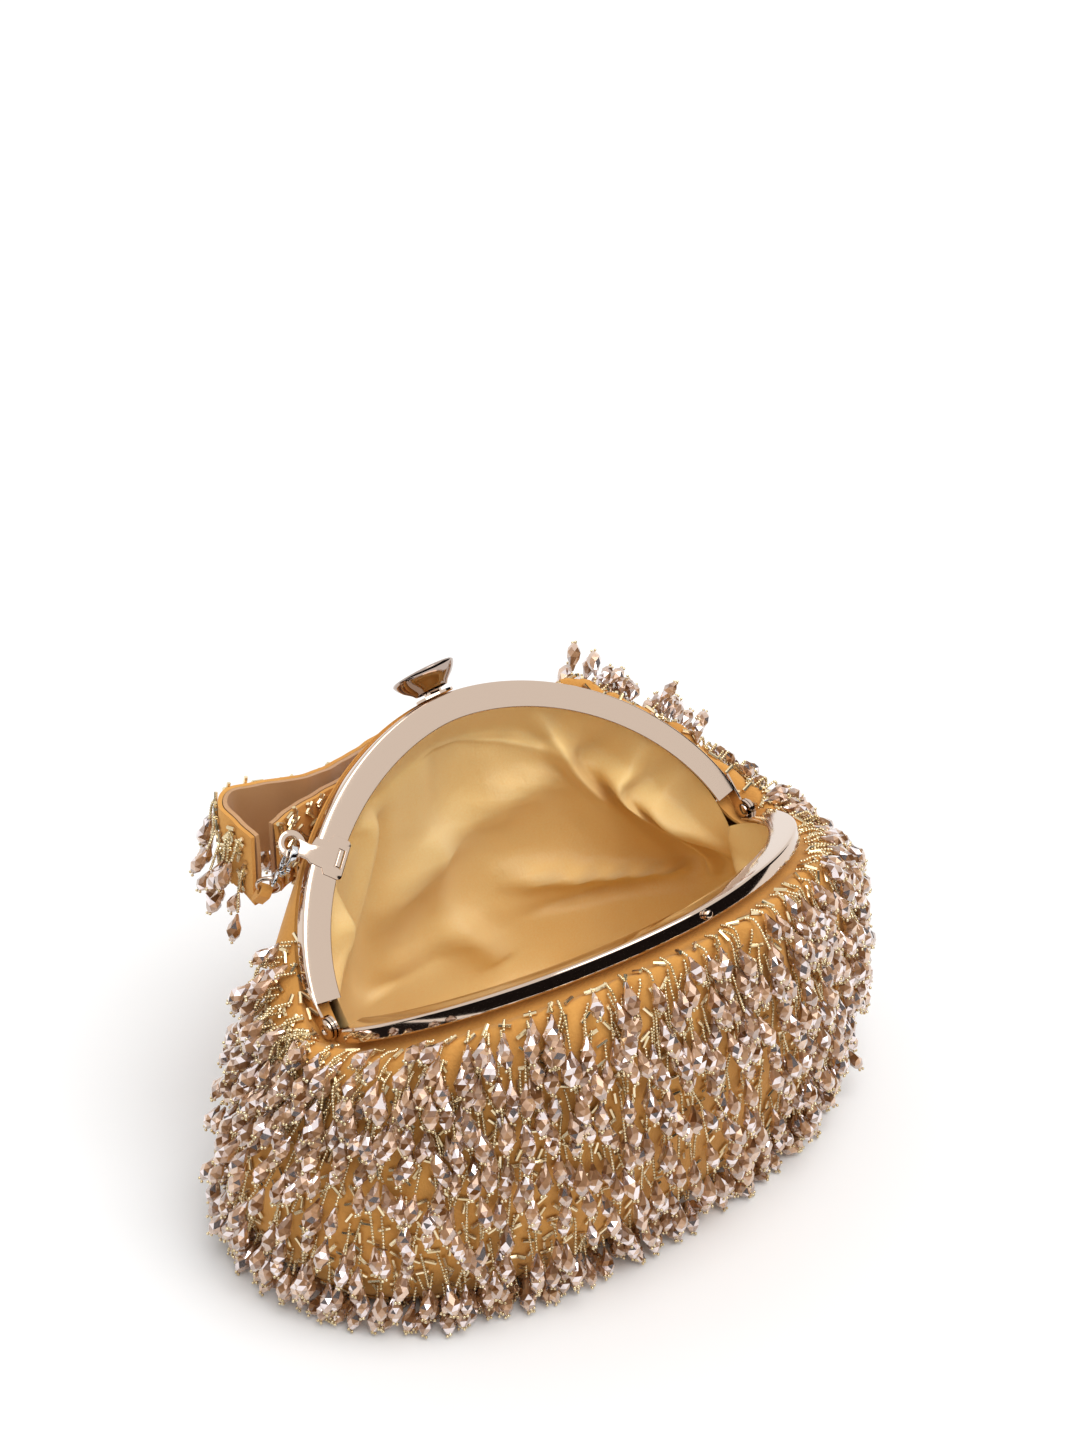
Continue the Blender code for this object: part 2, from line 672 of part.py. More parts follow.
def claw_parts():
    """The hook, its gate and pin, the swivel eye, and the ring at the strap's end."""
    matrix = claw_matrix()
    axis = axis_empty("claw_axis", matrix)
    half, bar = CLAW_WIDTH / 2, CLAW_BAR
    low = -CLAW_LENGTH + bar

    def drop(width, top, bottom, steps=26):
        """A closed drop-shaped outline, round at the top and narrower below."""
        points = []
        for i in range(steps):
            a = 2 * math.pi * i / steps
            y = (top + bottom) / 2 + (top - bottom) / 2 * math.sin(a)
            narrow = 0.78 + 0.22 * math.sin(a)
            points.append((width * math.cos(a) * narrow, y))
        return points

    outer = drop(half, bar / 2, low - bar)
    inner = drop(half - bar, -bar / 2, low + bar * 0.6)
    hook = outline_plate("claw_hook", [outer, inner], CLAW_THICK)
    place(hook, "chrome", parent=axis)
    pin_at = Vector((half * 0.50, low + 0.4 * MM, 0))
    gate_top = -CLAW_LENGTH * 0.30
    window = block(
        "window",
        (0.15 * half, pin_at.y, -CLAW_THICK),
        (half * 1.4, gate_top, CLAW_THICK),
    )
    slot = bar_solid("slot", bar * 1.05, GATE_THICK + 2 * GATE_GAP, (0, 0, 1), pin_at, 20)
    pin_hole = bar_solid("pin_hole", GATE_PIN_RADIUS + 0.05 * MM, 2 * CLAW_THICK, (0, 0, 1), pin_at, 14)
    neck = bar_solid(
        "neck", NECK_RADIUS, NECK_LENGTH + bar, (0, 1, 0), (0, low - bar - NECK_LENGTH / 2 + bar / 2, 0), 16
    )
    for piece, operation in ((window, "DIFFERENCE"), (slot, "DIFFERENCE"), (neck, "UNION"), (pin_hole, "DIFFERENCE")):
        piece.parent = axis
        boolean(hook, cutter(piece), operation)

    turn = axis_empty("gate_axis", Matrix.Translation(pin_at), axis)
    right = [p for p in outer if p[0] > 0.2 * half and pin_at.y < p[1] < gate_top - 2 * GATE_GAP]
    inside = [p for p in inner if p[0] > 0.15 * half and pin_at.y + bar * 0.6 < p[1] < gate_top - 2 * GATE_GAP]
    right.sort(key=lambda p: p[1])
    inside.sort(key=lambda p: -p[1])
    root = arc(pin_at.x, pin_at.y, bar * 0.75, 150, 390, 12)
    outline = [(x - pin_at.x, y - pin_at.y) for x, y in root + right + inside]
    gate = outline_plate("claw_gate", [outline], GATE_THICK)
    place(gate, "chrome", parent=turn)
    thumb = bar_solid("thumb", 1.1 * MM, GATE_THICK, (0, 0, 1), (half * 0.42, -pin_at.y + gate_top * 1.5, 0), 12)
    gate_hole = bar_solid("gate_hole", GATE_PIN_RADIUS + 0.08 * MM, 3 * GATE_THICK, (0, 0, 1), (0, 0, 0), 14)
    for piece, operation in ((thumb, "UNION"), (gate_hole, "DIFFERENCE")):
        piece.parent = turn
        boolean(gate, cutter(piece), operation)
    pin = bar_solid("claw_gate_pin", GATE_PIN_RADIUS, CLAW_THICK - 0.2 * MM, (0, 0, 1), pin_at, 14)
    place(pin, "chrome", parent=axis)

    eye_middle = Vector((0, low - bar - NECK_LENGTH - SWIVEL_RADIUS - SWIVEL_WIRE - 0.1 * MM, 0))
    steps = 14
    eye_points = []
    for i in range(steps):
        a = 2 * math.pi * i / steps
        eye_points.append(eye_middle + Vector((SWIVEL_RADIUS * math.cos(a), SWIVEL_RADIUS * math.sin(a), 0)))
    eye = place(tube("claw_swivel_eye", eye_points, SWIVEL_WIRE, True, 1), "chrome", parent=axis)
    return axis, eye, eye_middle


def strap_ring(axis, eye_middle):
    """The ring linked through the swivel eye, and the tab that ties it to the strap."""
    gap = SWIVEL_WIRE + STRAP_RING_WIRE + 0.3 * MM
    reach = STRAP_RING_RADIUS + SWIVEL_RADIUS - gap
    middle = eye_middle + Vector((0, -reach, 0))
    points = []
    steps = 16
    for i in range(steps):
        a = 2 * math.pi * i / steps
        points.append(middle + STRAP_RING_RADIUS * Vector((0, math.sin(a), math.cos(a))))
    place(tube("strap_ring", points, STRAP_RING_WIRE, True, 1), "rose_gold", parent=axis)
    hole = STRAP_RING_WIRE + 0.9 * MM
    around = hole + 0.9 * MM
    outline = arc(0, 0, around, -20, 200, 14) + [(-1.1 * MM, -TAB_REACH), (1.1 * MM, -TAB_REACH)]
    tab = outline_plate("strap_tab", [outline, circle(0, 0, hole, 14)], TAB_WIDTH)
    low = middle + Vector((0, -STRAP_RING_RADIUS, 0))
    place(tab, "velvet", Matrix.Translation(low), axis)


# The strap's route at half its height, round from its far end to its near one, in mm
STRAP_ROUTE = (
    (-84.3, 57.2, 119),
    (-84.5, 66, 121),
    (-84.5, 75, 123),
    (-77, 81.5, 123),
    (-62, 80, 120.5),
    (-45, 78.5, 117),
    (-25, 84, 113),
    (-2, 92.5, 109),
    (18, 98.5, 106),
    (33, 97.5, 104),
    (38.5, 90.5, 103),
    (33, 84, 103),
    (16, 82.5, 105),
    (-8, 79, 109),
    (-30, 73.5, 113),
    (-52, 68, 116),
    (-66, 63.5, 118),
    (-75, 59.5, 119),
)


def smooth_route(points, steps):
    """A smooth curve through the points, read at even distances."""
    points = [Vector(p) for p in points]
    ends = [2 * points[0] - points[1]] + points + [2 * points[-1] - points[-2]]
    fine = []
    for i in range(1, len(ends) - 2):
        a, b, c, d = ends[i - 1 : i + 3]
        for k in range(12):
            t = k / 12
            fine.append(
                0.5 * (2 * b + (c - a) * t + (2 * a - 5 * b + 4 * c - d) * t**2 + (3 * b - a - 3 * c + d) * t**3)
            )
    fine.append(points[-1])
    lengths = [0.0]
    for a, b in zip(fine, fine[1:]):
        lengths.append(lengths[-1] + (b - a).length)
    found = []
    k = 0
    for i in range(steps + 1):
        want = lengths[-1] * i / steps
        while k < len(fine) - 2 and lengths[k + 1] < want:
            k += 1
        t = (want - lengths[k]) / max(lengths[k + 1] - lengths[k], 1e-9)
        found.append(fine[k].lerp(fine[k + 1], t))
    return found


def grid_mesh(name, rows, closed_rows=False):
    """An open surface through rows of points, all of one length."""
    shape = bmesh.new()
    verts = [[shape.verts.new(p) for p in row] for row in rows]
    count = len(rows[0])
    for upper, lower in zip(verts, verts[1:]):
        for i in range(count if closed_rows else count - 1):
            k = (i + 1) % count
            shape.faces.new((upper[i], upper[k], lower[k], lower[i]))
    mesh = bpy.data.meshes.new(name)
    shape.to_mesh(mesh)
    shape.free()
    return bpy.data.objects.new(name, mesh)


def thicken(obj, thick, offset):
    modifier = obj.modifiers.new("wall", "SOLIDIFY")
    modifier.thickness = thick
    modifier.offset = offset
    modifier.use_even_offset = True
    return modifier


def pull_drop(shape, face, reach):
    """Replaces a wall face with a strand and its cut bead, pulled out of the face's middle."""
    middle = face.calc_center_median()
    out = face.normal.copy()
    across = Vector((0, 0, 1)).cross(out).normalized()
    up = out.cross(across)
    way = Vector((0, 0, -1)) if out.z < 0 else -up
    second = way.cross(across)
    ring = list(face.verts)
    first = max(range(4), key=lambda i: (ring[i].co - middle).dot(across + up))
    ring = ring[first:] + ring[:first]
    shape.faces.remove(face)
    fall = middle + (way * STRAND_LENGTH + out * STRAND_LIFT) * reach
    squares = (
        (middle, STRAND, up),
        (fall, STRAND, second),
        (fall + way * BEAD_TOP * reach, BEAD_WIDTH * reach, second),
        (fall + way * (BEAD_TOP + BEAD_TAIL) * reach, STRAND, second),
    )
    corners = ((1, 1), (-1, 1), (-1, -1), (1, -1))
    for at, width, high in squares:
        fresh = [
            shape.verts.new(at + across * a * width / 2 + high * b * width / 2)
            for a, b in corners
        ]
        for i in range(4):
            k = (i + 1) % 4
            shape.faces.new((ring[i], ring[k], fresh[k], fresh[i]))
        ring = fresh
    shape.faces.new(ring)


def add_drops(obj, chosen, zone=True):
    """Hangs a bead drop on each of the wall faces chosen, shorter ones near the floor.

    The pouch has none where the strap lies against it.
    """
    shape = bmesh.new()
    shape.from_mesh(obj.data)
    shape.faces.ensure_lookup_table()
    shape.normal_update()
    faces = [shape.faces[i] for i in chosen]
    for face in faces:
        middle = face.calc_center_median()
        behind = middle.y > STRAP_ZONE.y and middle.z > STRAP_ZONE.z
        if zone and behind and middle.x < STRAP_ZONE.x:
            continue
        room = middle.z - FLOOR_GAP
        reach = min(1.0, room / (STRAND_LENGTH + BEAD_TOP + BEAD_TAIL))
        if reach > 0.55:
            pull_drop(shape, face, reach)
    shape.to_mesh(obj.data)
    shape.free()


def soft_wall(name, rows, thick, cap=False):
    """A cloth wall from rows listed from the floor up, its outer face on the rows."""
    obj = grid_mesh(name, rows, cap)
    if cap:
        shape = bmesh.new()
        shape.from_mesh(obj.data)
        shape.verts.ensure_lookup_table()
        shape.faces.new([shape.verts[i] for i in reversed(range(len(rows[0])))])
        shape.to_mesh(obj.data)
        shape.free()
    thicken(obj, thick, -1)
    parts.objects.link(obj)
    return meshed(obj)


def side_blend(turn):
    """1 where a row follows the frame, falling to 0 where it passes over a hinge."""
    near = min(1.0, min(turn, math.pi - turn) / SIDE_BLEND)
    return near * near * (3 - 2 * near)


def column_turn(column):
    """A column's side, rear or front, and its angle round that side's arch."""
    angle = 2 * math.pi * column / COLUMNS % (2 * math.pi)
    return (1, angle) if angle <= math.pi else (-1, 2 * math.pi - angle)


def ring_point(column, left, right, front, rear, power):
    """A point of a superellipse ring, in the floor's plane."""
    side, turn = column_turn(column)
    x = signed_power(math.cos(turn), 2 / power)
    y = side * abs(math.sin(turn)) ** (2 / power)
    return Vector((x * (right if x > 0 else left), y * (rear if side > 0 else front), 0))


def wall_row(number, column, inset, out=0.0):
    """A point of one of the SECTIONS, moved in by a layer's inset and out by a gather."""
    z, left, right, front, rear, power = SECTIONS[number]
    before = SECTIONS[max(number - 1, 0)]
    after = SECTIONS[min(number + 1, len(SECTIONS) - 1)]
    run = Vector((after[1] - before[1], after[0] - before[0])).normalized()
    shrink = (inset / MM - out / MM) * run.y
    point = ring_point(column, left - shrink, right - shrink, front - shrink, rear - shrink, power)
    return point * MM + Vector((0, 0, z * MM + inset * run.x))


def brim_row(row, column, depth=0.0, behind=0.0):
    """A point of a row that follows the frame, with its depth and distance changed."""
    row_depth, row_behind, wide, over = (value * MM for value in row)
    side, turn = column_turn(column)
    across, up = arch_point(turn, row_depth + depth)
    on_frame = frame_point(side, across, up, row_behind + behind)
    beside = FRAME_WIDTH / 2 + wide - depth
    over_hinge = Vector((math.copysign(beside, across), 0, HINGE_HEIGHT + over - behind))
    return over_hinge.lerp(on_frame, side_blend(turn))


def gather(column):
    side, turn = column_turn(column)
    wave = 0.5 + 0.5 * math.cos(2 * math.pi * GATHERS * column / COLUMNS)
    return GATHER_DEPTH * wave * side_blend(turn)


def rear_tuck(column):
    """1 where the rear cloth stays low behind its bar: its left side and under the clasp."""
    side, turn = column_turn(column)
    if side < 0:
        return 0.0
    near = (TUCK_REACH[1] - arch_point(turn)[0]) / (TUCK_REACH[1] - TUCK_REACH[0])
    near = min(1.0, max(0.0, near))
    return near * near * (3 - 2 * near) * side_blend(turn)


def crest_point(column, rise=0.0):
    """A point of the row where the outer cloth turns over towards its bar."""
    low = rear_tuck(column)
    depth = low * TUCK_DEPTH - rise * (1 - low)
    return brim_row(BRIM[0], column, depth, low * TUCK_BACK)


def pouch_rows(columns):
    """The outer cloth's rows, floor to brim, at the columns given."""
    rows = []
    for number, share in enumerate(GATHER_SHARE):
        rows.append([wall_row(number, c, 0, gather(c) * share) for c in columns])
    crest = [crest_point(c, gather(c)) for c in columns]
    shoulder = []
    for below, above in zip(rows[-1], crest):
        middle = (below + above) / 2
        outward = Vector((middle.x / 2, middle.y, 0)).normalized()
        shoulder.append(middle + outward * SHOULDER)
    rows += [shoulder, crest]
    for row in BRIM[1:]:
        rows.append([brim_row(row, c) for c in columns])
    return rows


def shell_rows(columns, inset):
    """The padding's rows, which end part of the way up to the crest."""
    rows = [[wall_row(number, c, inset) for c in columns] for number in SHELL_SECTIONS]
    rows.append([below.lerp(crest_point(c), SHELL_TOP) for below, c in zip(rows[-1], columns)])
    return rows


def velvet_panels():
    """The four outer panels, gathered to the frame and hung with bead drops."""
    spans = (
        ("right_gusset", -GUSSET_COLUMNS, GUSSET_COLUMNS),
        ("rear_velvet", GUSSET_COLUMNS, COLUMNS / 2 - GUSSET_COLUMNS),
        ("left_gusset", COLUMNS / 2 - GUSSET_COLUMNS, COLUMNS / 2 + GUSSET_COLUMNS),
        ("front_velvet", COLUMNS / 2 + GUSSET_COLUMNS, COLUMNS - GUSSET_COLUMNS),
    )
    for name, start, end in spans:
        columns = [start + SEAM_SHARE, *range(int(start) + 1, int(end)), end - SEAM_SHARE]
        rows = pouch_rows(columns)
        panel = soft_wall(name, rows, VELVET)
        wide = len(columns) - 1
        chosen = []
        for row in range(1, len(rows) - 3):
            for column in range(wide):
                if (column + DROP_SHIFT * row) % DROP_SPACING == 0:
                    chosen.append(row * wide + column)
        add_drops(panel, chosen)
        place(panel, "velvet", smooth=40)


def flat_layer(name, finish, number, low, thick, inset):
    """A flat layer of the base, cut to the outline of one of the SECTIONS."""
    z, left, right, front, rear, power = SECTIONS[number]
    cut = inset / MM
    outline = []
    for column in range(COLUMNS):
        point = ring_point(column, left - cut, right - cut, front - cut, rear - cut, power)
        outline.append((point.x * MM, point.y * MM))
    plate = outline_plate(name, [outline], thick)
    return place(plate, finish, Matrix.Translation((0, 0, low + thick / 2)))


def pouch_core():
    """The layers inside the velvet: base cloth, padded shell, board and lining."""
    flat_layer("base_velvet", "velvet", 0, 0, BASE_THICK, VELVET + 1.2 * MM)
    inset = VELVET + LAYER_GAP + SHELL_SLACK
    columns = list(range(COLUMNS))
    shell = soft_wall("pouch_shell", shell_rows(columns, inset), INTERLINING, cap=True)
    place(shell, "foam", smooth=40)
    floor = wall_row(0, 0, inset).z + INTERLINING + LAYER_GAP
    inner = inset + INTERLINING
    flat_layer("base_board", "board", 0, floor, BOARD_THICK, inner + 2.2 * MM)
    floor += BOARD_THICK + LAYER_GAP
    flat_layer("base_lining", "satin", 0, floor, LINING, inner)
    slack = inner + LINING_SLACK
    left, right = COLUMNS / 2 + LINING_SPLIT, COLUMNS - LINING_SPLIT
    spans = (("rear_lining", -LINING_SPLIT, left), ("front_lining", left, right))
    for name, start, end in spans:
        columns = [start + SEAM_SHARE, *range(int(start) + 1, int(end)), end - SEAM_SHARE]
        rows = []
        for number in LINING_SECTIONS:
            row = []
            for c in columns:
                fold = lining_fold(c, number) * 0.8
                point = wall_row(number, c, slack + fold)
                point.z = max(point.z, floor + LINING + LAYER_GAP)
                row.append(point)
            rows.append(row)
        for number, brim in enumerate(LINING_BRIM):
            share = 1 - number / (len(LINING_BRIM) - 1)
            rows.append(
                [brim_row(brim, c, lining_fold(c, 4 + number) * share) for c in columns]
            )
        wall = soft_wall(name, rows, LINING)
        place(wall, "satin", smooth=50)


def lining_fold(column, row):
    """How far a soft fold brings the lining in."""
    turn = 2 * math.pi * column / COLUMNS
    wave = math.sin(7 * turn + 0.5 * row) + 0.6 * math.sin(11 * turn + 1.1 - 0.7 * row)
    return FOLD_DEPTH * (0.5 + wave / 3.2)


def strap():
    """The strap's two layers, each a band on edge round the same route."""
    route = smooth_route([Vector(p) * MM for p in reversed(STRAP_ROUTE)], STRAP_STEPS)
    sides = []
    for i, point in enumerate(route):
        ahead = route[min(i + 1, STRAP_STEPS)] - route[max(i - 1, 0)]
        sides.append(ahead.cross(Vector((0, 0, 1))).normalized())
    half = STRAP_WIDTH / 2
    for name, finish, start in (
        ("strap_band", "velvet", STRAP_GAP / 2 + STRAP_LAYER),
        ("strap_lining", "satin", -STRAP_GAP / 2),
    ):
        rows = []
        for high in (-half, half):
            rows.append([p + s * start + Vector((0, 0, high)) for p, s in zip(route, sides)])
        band = soft_wall(name, rows, STRAP_LAYER)
        if name == "strap_band":
            add_drops(band, range(*STRAP_DROPS), zone=False)
        place(band, finish, smooth=40)


clear_scene()
parts = collection("potli_bag")
cutters = collection("cutters")
bar_axes, bars = frame_bars()
hinge_rivets(bar_axes[1])
clasp(bar_axes)
strap_lug(bar_axes[1], bars[1])
claw = claw_parts()
strap_ring(claw[0], claw[2])
velvet_panels()
pouch_core()
strap()
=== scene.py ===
import math

import bmesh
import bpy
import numpy as np
from mathutils import Matrix, Vector
from mathutils.bvhtree import BVHTree


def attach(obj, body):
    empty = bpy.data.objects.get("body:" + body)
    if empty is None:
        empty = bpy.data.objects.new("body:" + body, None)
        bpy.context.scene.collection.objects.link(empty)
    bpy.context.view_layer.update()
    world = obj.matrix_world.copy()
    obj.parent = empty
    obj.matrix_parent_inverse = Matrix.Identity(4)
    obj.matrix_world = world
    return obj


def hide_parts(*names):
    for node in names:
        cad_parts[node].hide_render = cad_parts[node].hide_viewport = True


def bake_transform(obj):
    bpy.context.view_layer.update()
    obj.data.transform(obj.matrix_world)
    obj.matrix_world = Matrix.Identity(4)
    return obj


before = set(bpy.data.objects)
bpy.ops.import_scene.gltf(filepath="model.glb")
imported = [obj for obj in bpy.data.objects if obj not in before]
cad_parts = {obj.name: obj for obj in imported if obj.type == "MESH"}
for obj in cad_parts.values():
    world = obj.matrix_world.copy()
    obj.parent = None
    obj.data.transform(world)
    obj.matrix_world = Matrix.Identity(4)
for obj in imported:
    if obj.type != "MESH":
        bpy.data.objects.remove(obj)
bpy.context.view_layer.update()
mm = 0.001
draw = np.random.default_rng(11)

# shader helper: a socket that takes part in sums


class Signal:
    def __init__(self, graph, socket):
        self.graph = graph
        self.socket = socket

    def combine(self, operation, first, second):
        return self.graph.make("ShaderNodeMath", {"operation": operation}, {0: first, 1: second})

    def __add__(self, other):
        return self.combine("ADD", self, other)

    def __mul__(self, other):
        return self.combine("MULTIPLY", self, other)

    def tint(self, low, high):
        # a colour between two, by this signal
        return self.graph.make(
            "ShaderNodeMix",
            {"data_type": "RGBA"},
            {0: self, 6: (*low, 1), 7: (*high, 1)},
            output=2,
        )


class Graph:
    def __init__(self, name):
        self.material = bpy.data.materials.new(name)
        self.material.use_nodes = True
        self.tree = self.material.node_tree
        self.shader = self.tree.nodes["Principled BSDF"]

    def make(self, kind, settings=None, inputs=None, output=0):
        node = self.tree.nodes.new(kind)
        for key, value in (settings or {}).items():
            setattr(node, key, value)
        for key, value in (inputs or {}).items():
            self.feed(node.inputs[key], value)
        return Signal(self, node.outputs[output])

    def feed(self, socket, value):
        if isinstance(value, Signal):
            self.tree.links.new(value.socket, socket)
        else:
            socket.default_value = value

    def set(self, **values):
        for key, value in values.items():
            self.feed(self.shader.inputs[key.replace("_", " ")], value)

    def place(self):
        return self.make("ShaderNodeTexCoord", output=3)

    def noise(self, scale, detail=2, where=None):
        where = where or self.place()
        return self.make(
            "ShaderNodeTexNoise", inputs={"Vector": where, "Scale": scale, "Detail": detail}
        )

    def bump(self, height, strength, distance):
        return self.make(
            "ShaderNodeBump",
            inputs={"Strength": strength, "Distance": distance, "Height": height},
        )


# materials

metalLook = {
    "rose": (0.64, 0.50, 0.40),
    "roseRough": 0.07,
    "chrome": (0.66, 0.67, 0.69),
    "chromeRough": 0.09,
    # the clasp knob: the frame's rose gold made darker, a painted dark reflection
    "knobPaintedDark": (0.44, 0.35, 0.30),
    "gold": (0.98, 0.84, 0.56),
    "goldDark": (0.55, 0.40, 0.19),
    "goldRough": 0.2,
}


def metal(name, colour, rough, spread=0.03):
    graph = Graph(name)
    graph.set(Base_Color=(*colour, 1), Metallic=1.0)
    graph.set(Roughness=graph.noise(60) * spread + (rough - spread / 2))
    return graph.material


def beadMetal():
    look = metalLook
    graph = Graph("seedGold")
    toneAndFacetLight = graph.make("ShaderNodeAttribute", {"attribute_name": "toneAndFacetLight"}, output=2)
    graph.set(Base_Color=toneAndFacetLight.tint(look["goldDark"], look["gold"]))
    graph.set(Metallic=0.9, Roughness=look["goldRough"])
    return graph.material


crystalLook = {
    # drop facet colours: dark facets are painted refraction shade, pale facets are painted glints, mid is
    # the topaz glass colour
    "paintedDarkFacet": (0.19, 0.07, 0.02),
    "mid": (0.84, 0.50, 0.28),
    "paintedGlint": (0.90, 0.79, 0.78),
    "rough": 0.04,
    "clear": 0.28,
}


def crystal():
    look = crystalLook
    graph = Graph("topazDrop")
    toneAndFacetLight = graph.make("ShaderNodeAttribute", {"attribute_name": "toneAndFacetLight"}, output=2)
    # random per facet, from painted refraction shade to the topaz glass colour
    body = toneAndFacetLight.tint(look["paintedDarkFacet"], look["mid"])
    # about a fifth of the facets get a painted glint: pale and more metallic
    paintedGlintFacets = graph.make("ShaderNodeMath", {"operation": "GREATER_THAN"}, {0: toneAndFacetLight, 1: 0.8})
    made = graph.make(
        "ShaderNodeMix",
        {"data_type": "RGBA"},
        {0: paintedGlintFacets, 6: body, 7: (*look["paintedGlint"], 1)},
        output=2,
    )
    graph.set(Base_Color=made, Roughness=look["rough"], Metallic=paintedGlintFacets * 0.65 + 0.15)
    graph.set(Transmission_Weight=look["clear"], IOR=1.55, Coat_Weight=1.0, Coat_Roughness=0.03)
    return graph.material


velvetLook = {
    "deep": (0.50, 0.20, 0.035),
    "lit": (0.82, 0.42, 0.10),
    "rough": 0.9,
    "broad": 45,
    "pile": 900,
    "bump": (0.35, 0.0006),
    "sheen": 0.45,
    "sheenTint": (1.0, 0.72, 0.40),
}


def velvetCloth():
    look = velvetLook
    graph = Graph("velvetCloth")
    broad = graph.noise(look["broad"], 3)
    pile = graph.noise(look["pile"], 1)
    graph.set(Base_Color=(broad * 0.75 + pile * 0.25).tint(look["deep"], look["lit"]))
    graph.set(Roughness=look["rough"], Sheen_Weight=look["sheen"])
    graph.set(Sheen_Tint=(*look["sheenTint"], 1), Sheen_Roughness=0.4)
    graph.set(Normal=graph.bump(pile, *look["bump"]))
    return graph.material


satinLook = {
    "deep": (0.93, 0.53, 0.14),
    "lit": (1.0, 0.82, 0.41),
    "rough": 0.38,
    "threads": 1500,
    "grain": 1300,
    "grainHigh": 0.0004,
    "crease": 55,
    "creaseHigh": 0.0022,
    "bump": 0.5,
}


def satinCloth(name, deep, lit):
    look = satinLook
    graph = Graph(name)
    where = graph.make("ShaderNodeUVMap", {"uv_map": "cloth"})
    threads = graph.make(
        "ShaderNodeTexWave",
        {"wave_type": "BANDS", "bands_direction": "DIAGONAL"},
        {"Vector": where, "Scale": look["threads"], "Distortion": 0.6, "Detail": 1},
        output=1,
    )
    slub = graph.noise(30, 3)
    grain = graph.noise(look["grain"], 1)
    crease = graph.noise(look["crease"], 4)
    graph.set(Base_Color=(slub * 0.45 + threads * 0.2 + grain * 0.35).tint(deep, lit))
    graph.set(Roughness=slub * 0.12 + (look["rough"] - 0.06), Sheen_Weight=0.15)
    graph.set(Specular_IOR_Level=0.6)
    weave = threads * 0.5 + grain * 0.5
    graph.set(Normal=graph.bump(crease * look["creaseHigh"] + weave * look["grainHigh"], look["bump"], 1.0))
    return graph.material


def plainCloth(name, colour):
    graph = Graph(name)
    graph.set(Base_Color=(*colour, 1), Roughness=0.9)
    return graph.material


finish = {
    "rose": metal("roseGold", metalLook["rose"], metalLook["roseRough"]),
    # the knob's darker rose gold is a painted dark reflection
    "knobPaintedDark": metal("roseKnobPaintedDark", metalLook["knobPaintedDark"], metalLook["roseRough"]),
    "chrome": metal("brightChrome", metalLook["chrome"], metalLook["chromeRough"]),
    "bead": beadMetal(),
    "drop": crystal(),
    "velvet": velvetCloth(),
    "satin": satinCloth("goldSatin", satinLook["deep"], satinLook["lit"]),
    "strapSatin": satinCloth("strapSatin", (0.46, 0.22, 0.08), (0.62, 0.34, 0.14)),
    "twine": plainCloth("twineCord", (0.42, 0.30, 0.17)),
    "board": plainCloth("boardGrey", (0.36, 0.28, 0.20)),
}
print("materials made")

# the arch and the frame's own places, as in the CAD source

arch = {
    "width": 200 * mm,
    "rise": 86.5 * mm,
    "power": 1.84,
    "hinge": 92 * mm,
    "rearLean": math.radians(43.9),
    "frontLean": math.radians(59.8),
}
channel = {
    "sheet": 0.9 * mm,
    "face": 10.4 * mm,
    "back": 9.0 * mm,
    "depth": 5.7 * mm,
    "gap": 0.25 * mm,
    "round": 1.0 * mm,
    "lip": 0.3 * mm,
    "limbCut": 9 * mm,
    "steps": 150,
}


def signedPower(value, power):
    return math.copysign(abs(value) ** power, value)


def archPoint(angle, depth=0.0):
    power = 2 / arch["power"]
    across = (arch["width"] / 2 - depth) * signedPower(math.cos(angle), power)
    up = (arch["rise"] - depth) * signedPower(math.sin(angle), power)
    return across, up


def archAngle(rise):
    return math.asin((rise / arch["rise"]) ** (arch["power"] / 2))


def leanOf(side):
    return arch["rearLean"] if side > 0 else arch["frontLean"]


def framePoint(side, across, up, behind):
    lean = leanOf(side)
    y = side * (up * math.sin(lean) + behind * math.cos(lean))
    z = arch["hinge"] + up * math.cos(lean) - behind * math.sin(lean)
    return Vector((across, y, z))


def basis(x, y, z, origin):
    made = Matrix((x, y, z)).transposed().to_4x4()
    made.translation = origin
    return made


def barMatrix(side):
    lean = leanOf(side)
    up = Vector((0, side * math.sin(lean), math.cos(lean)))
    off = Vector((0, -math.cos(lean), side * math.sin(lean)))
    return basis(Vector((1, 0, 0)), up, off, Vector((0, 0, arch["hinge"])))


# small modelling helpers


def link(name, mesh, look, smooth=35):
    obj = bpy.data.objects.new(name, mesh)
    bpy.context.scene.collection.objects.link(obj)
    mesh.materials.clear()
    mesh.materials.append(finish[look])
    if smooth is not None:
        mesh.shade_smooth()
        mesh.set_sharp_from_angle(angle=math.radians(smooth))
    return obj


def select(obj):
    bpy.ops.object.select_all(action="DESELECT")
    obj.select_set(True)
    bpy.context.view_layer.objects.active = obj


def settle(obj, matrix=None):
    # modifiers applied, then the piece's place put into its points
    select(obj)
    for modifier in list(obj.modifiers):
        bpy.ops.object.modifier_apply(modifier=modifier.name)
    if matrix is not None:
        obj.data.transform(matrix)
        if matrix.determinant() < 0:
            obj.data.flip_normals()
    return obj


def finished(obj, body, slotName, *nodes):
    obj.matrix_world = Matrix.Identity(4)
    if nodes:
        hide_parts(*nodes)
    if body:
        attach(obj, body)
    return obj


def meshFrom(name, points, faces):
    mesh = bpy.data.meshes.new(name)
    mesh.from_pydata([tuple(p) for p in points], [], faces)
    mesh.update()
    return mesh


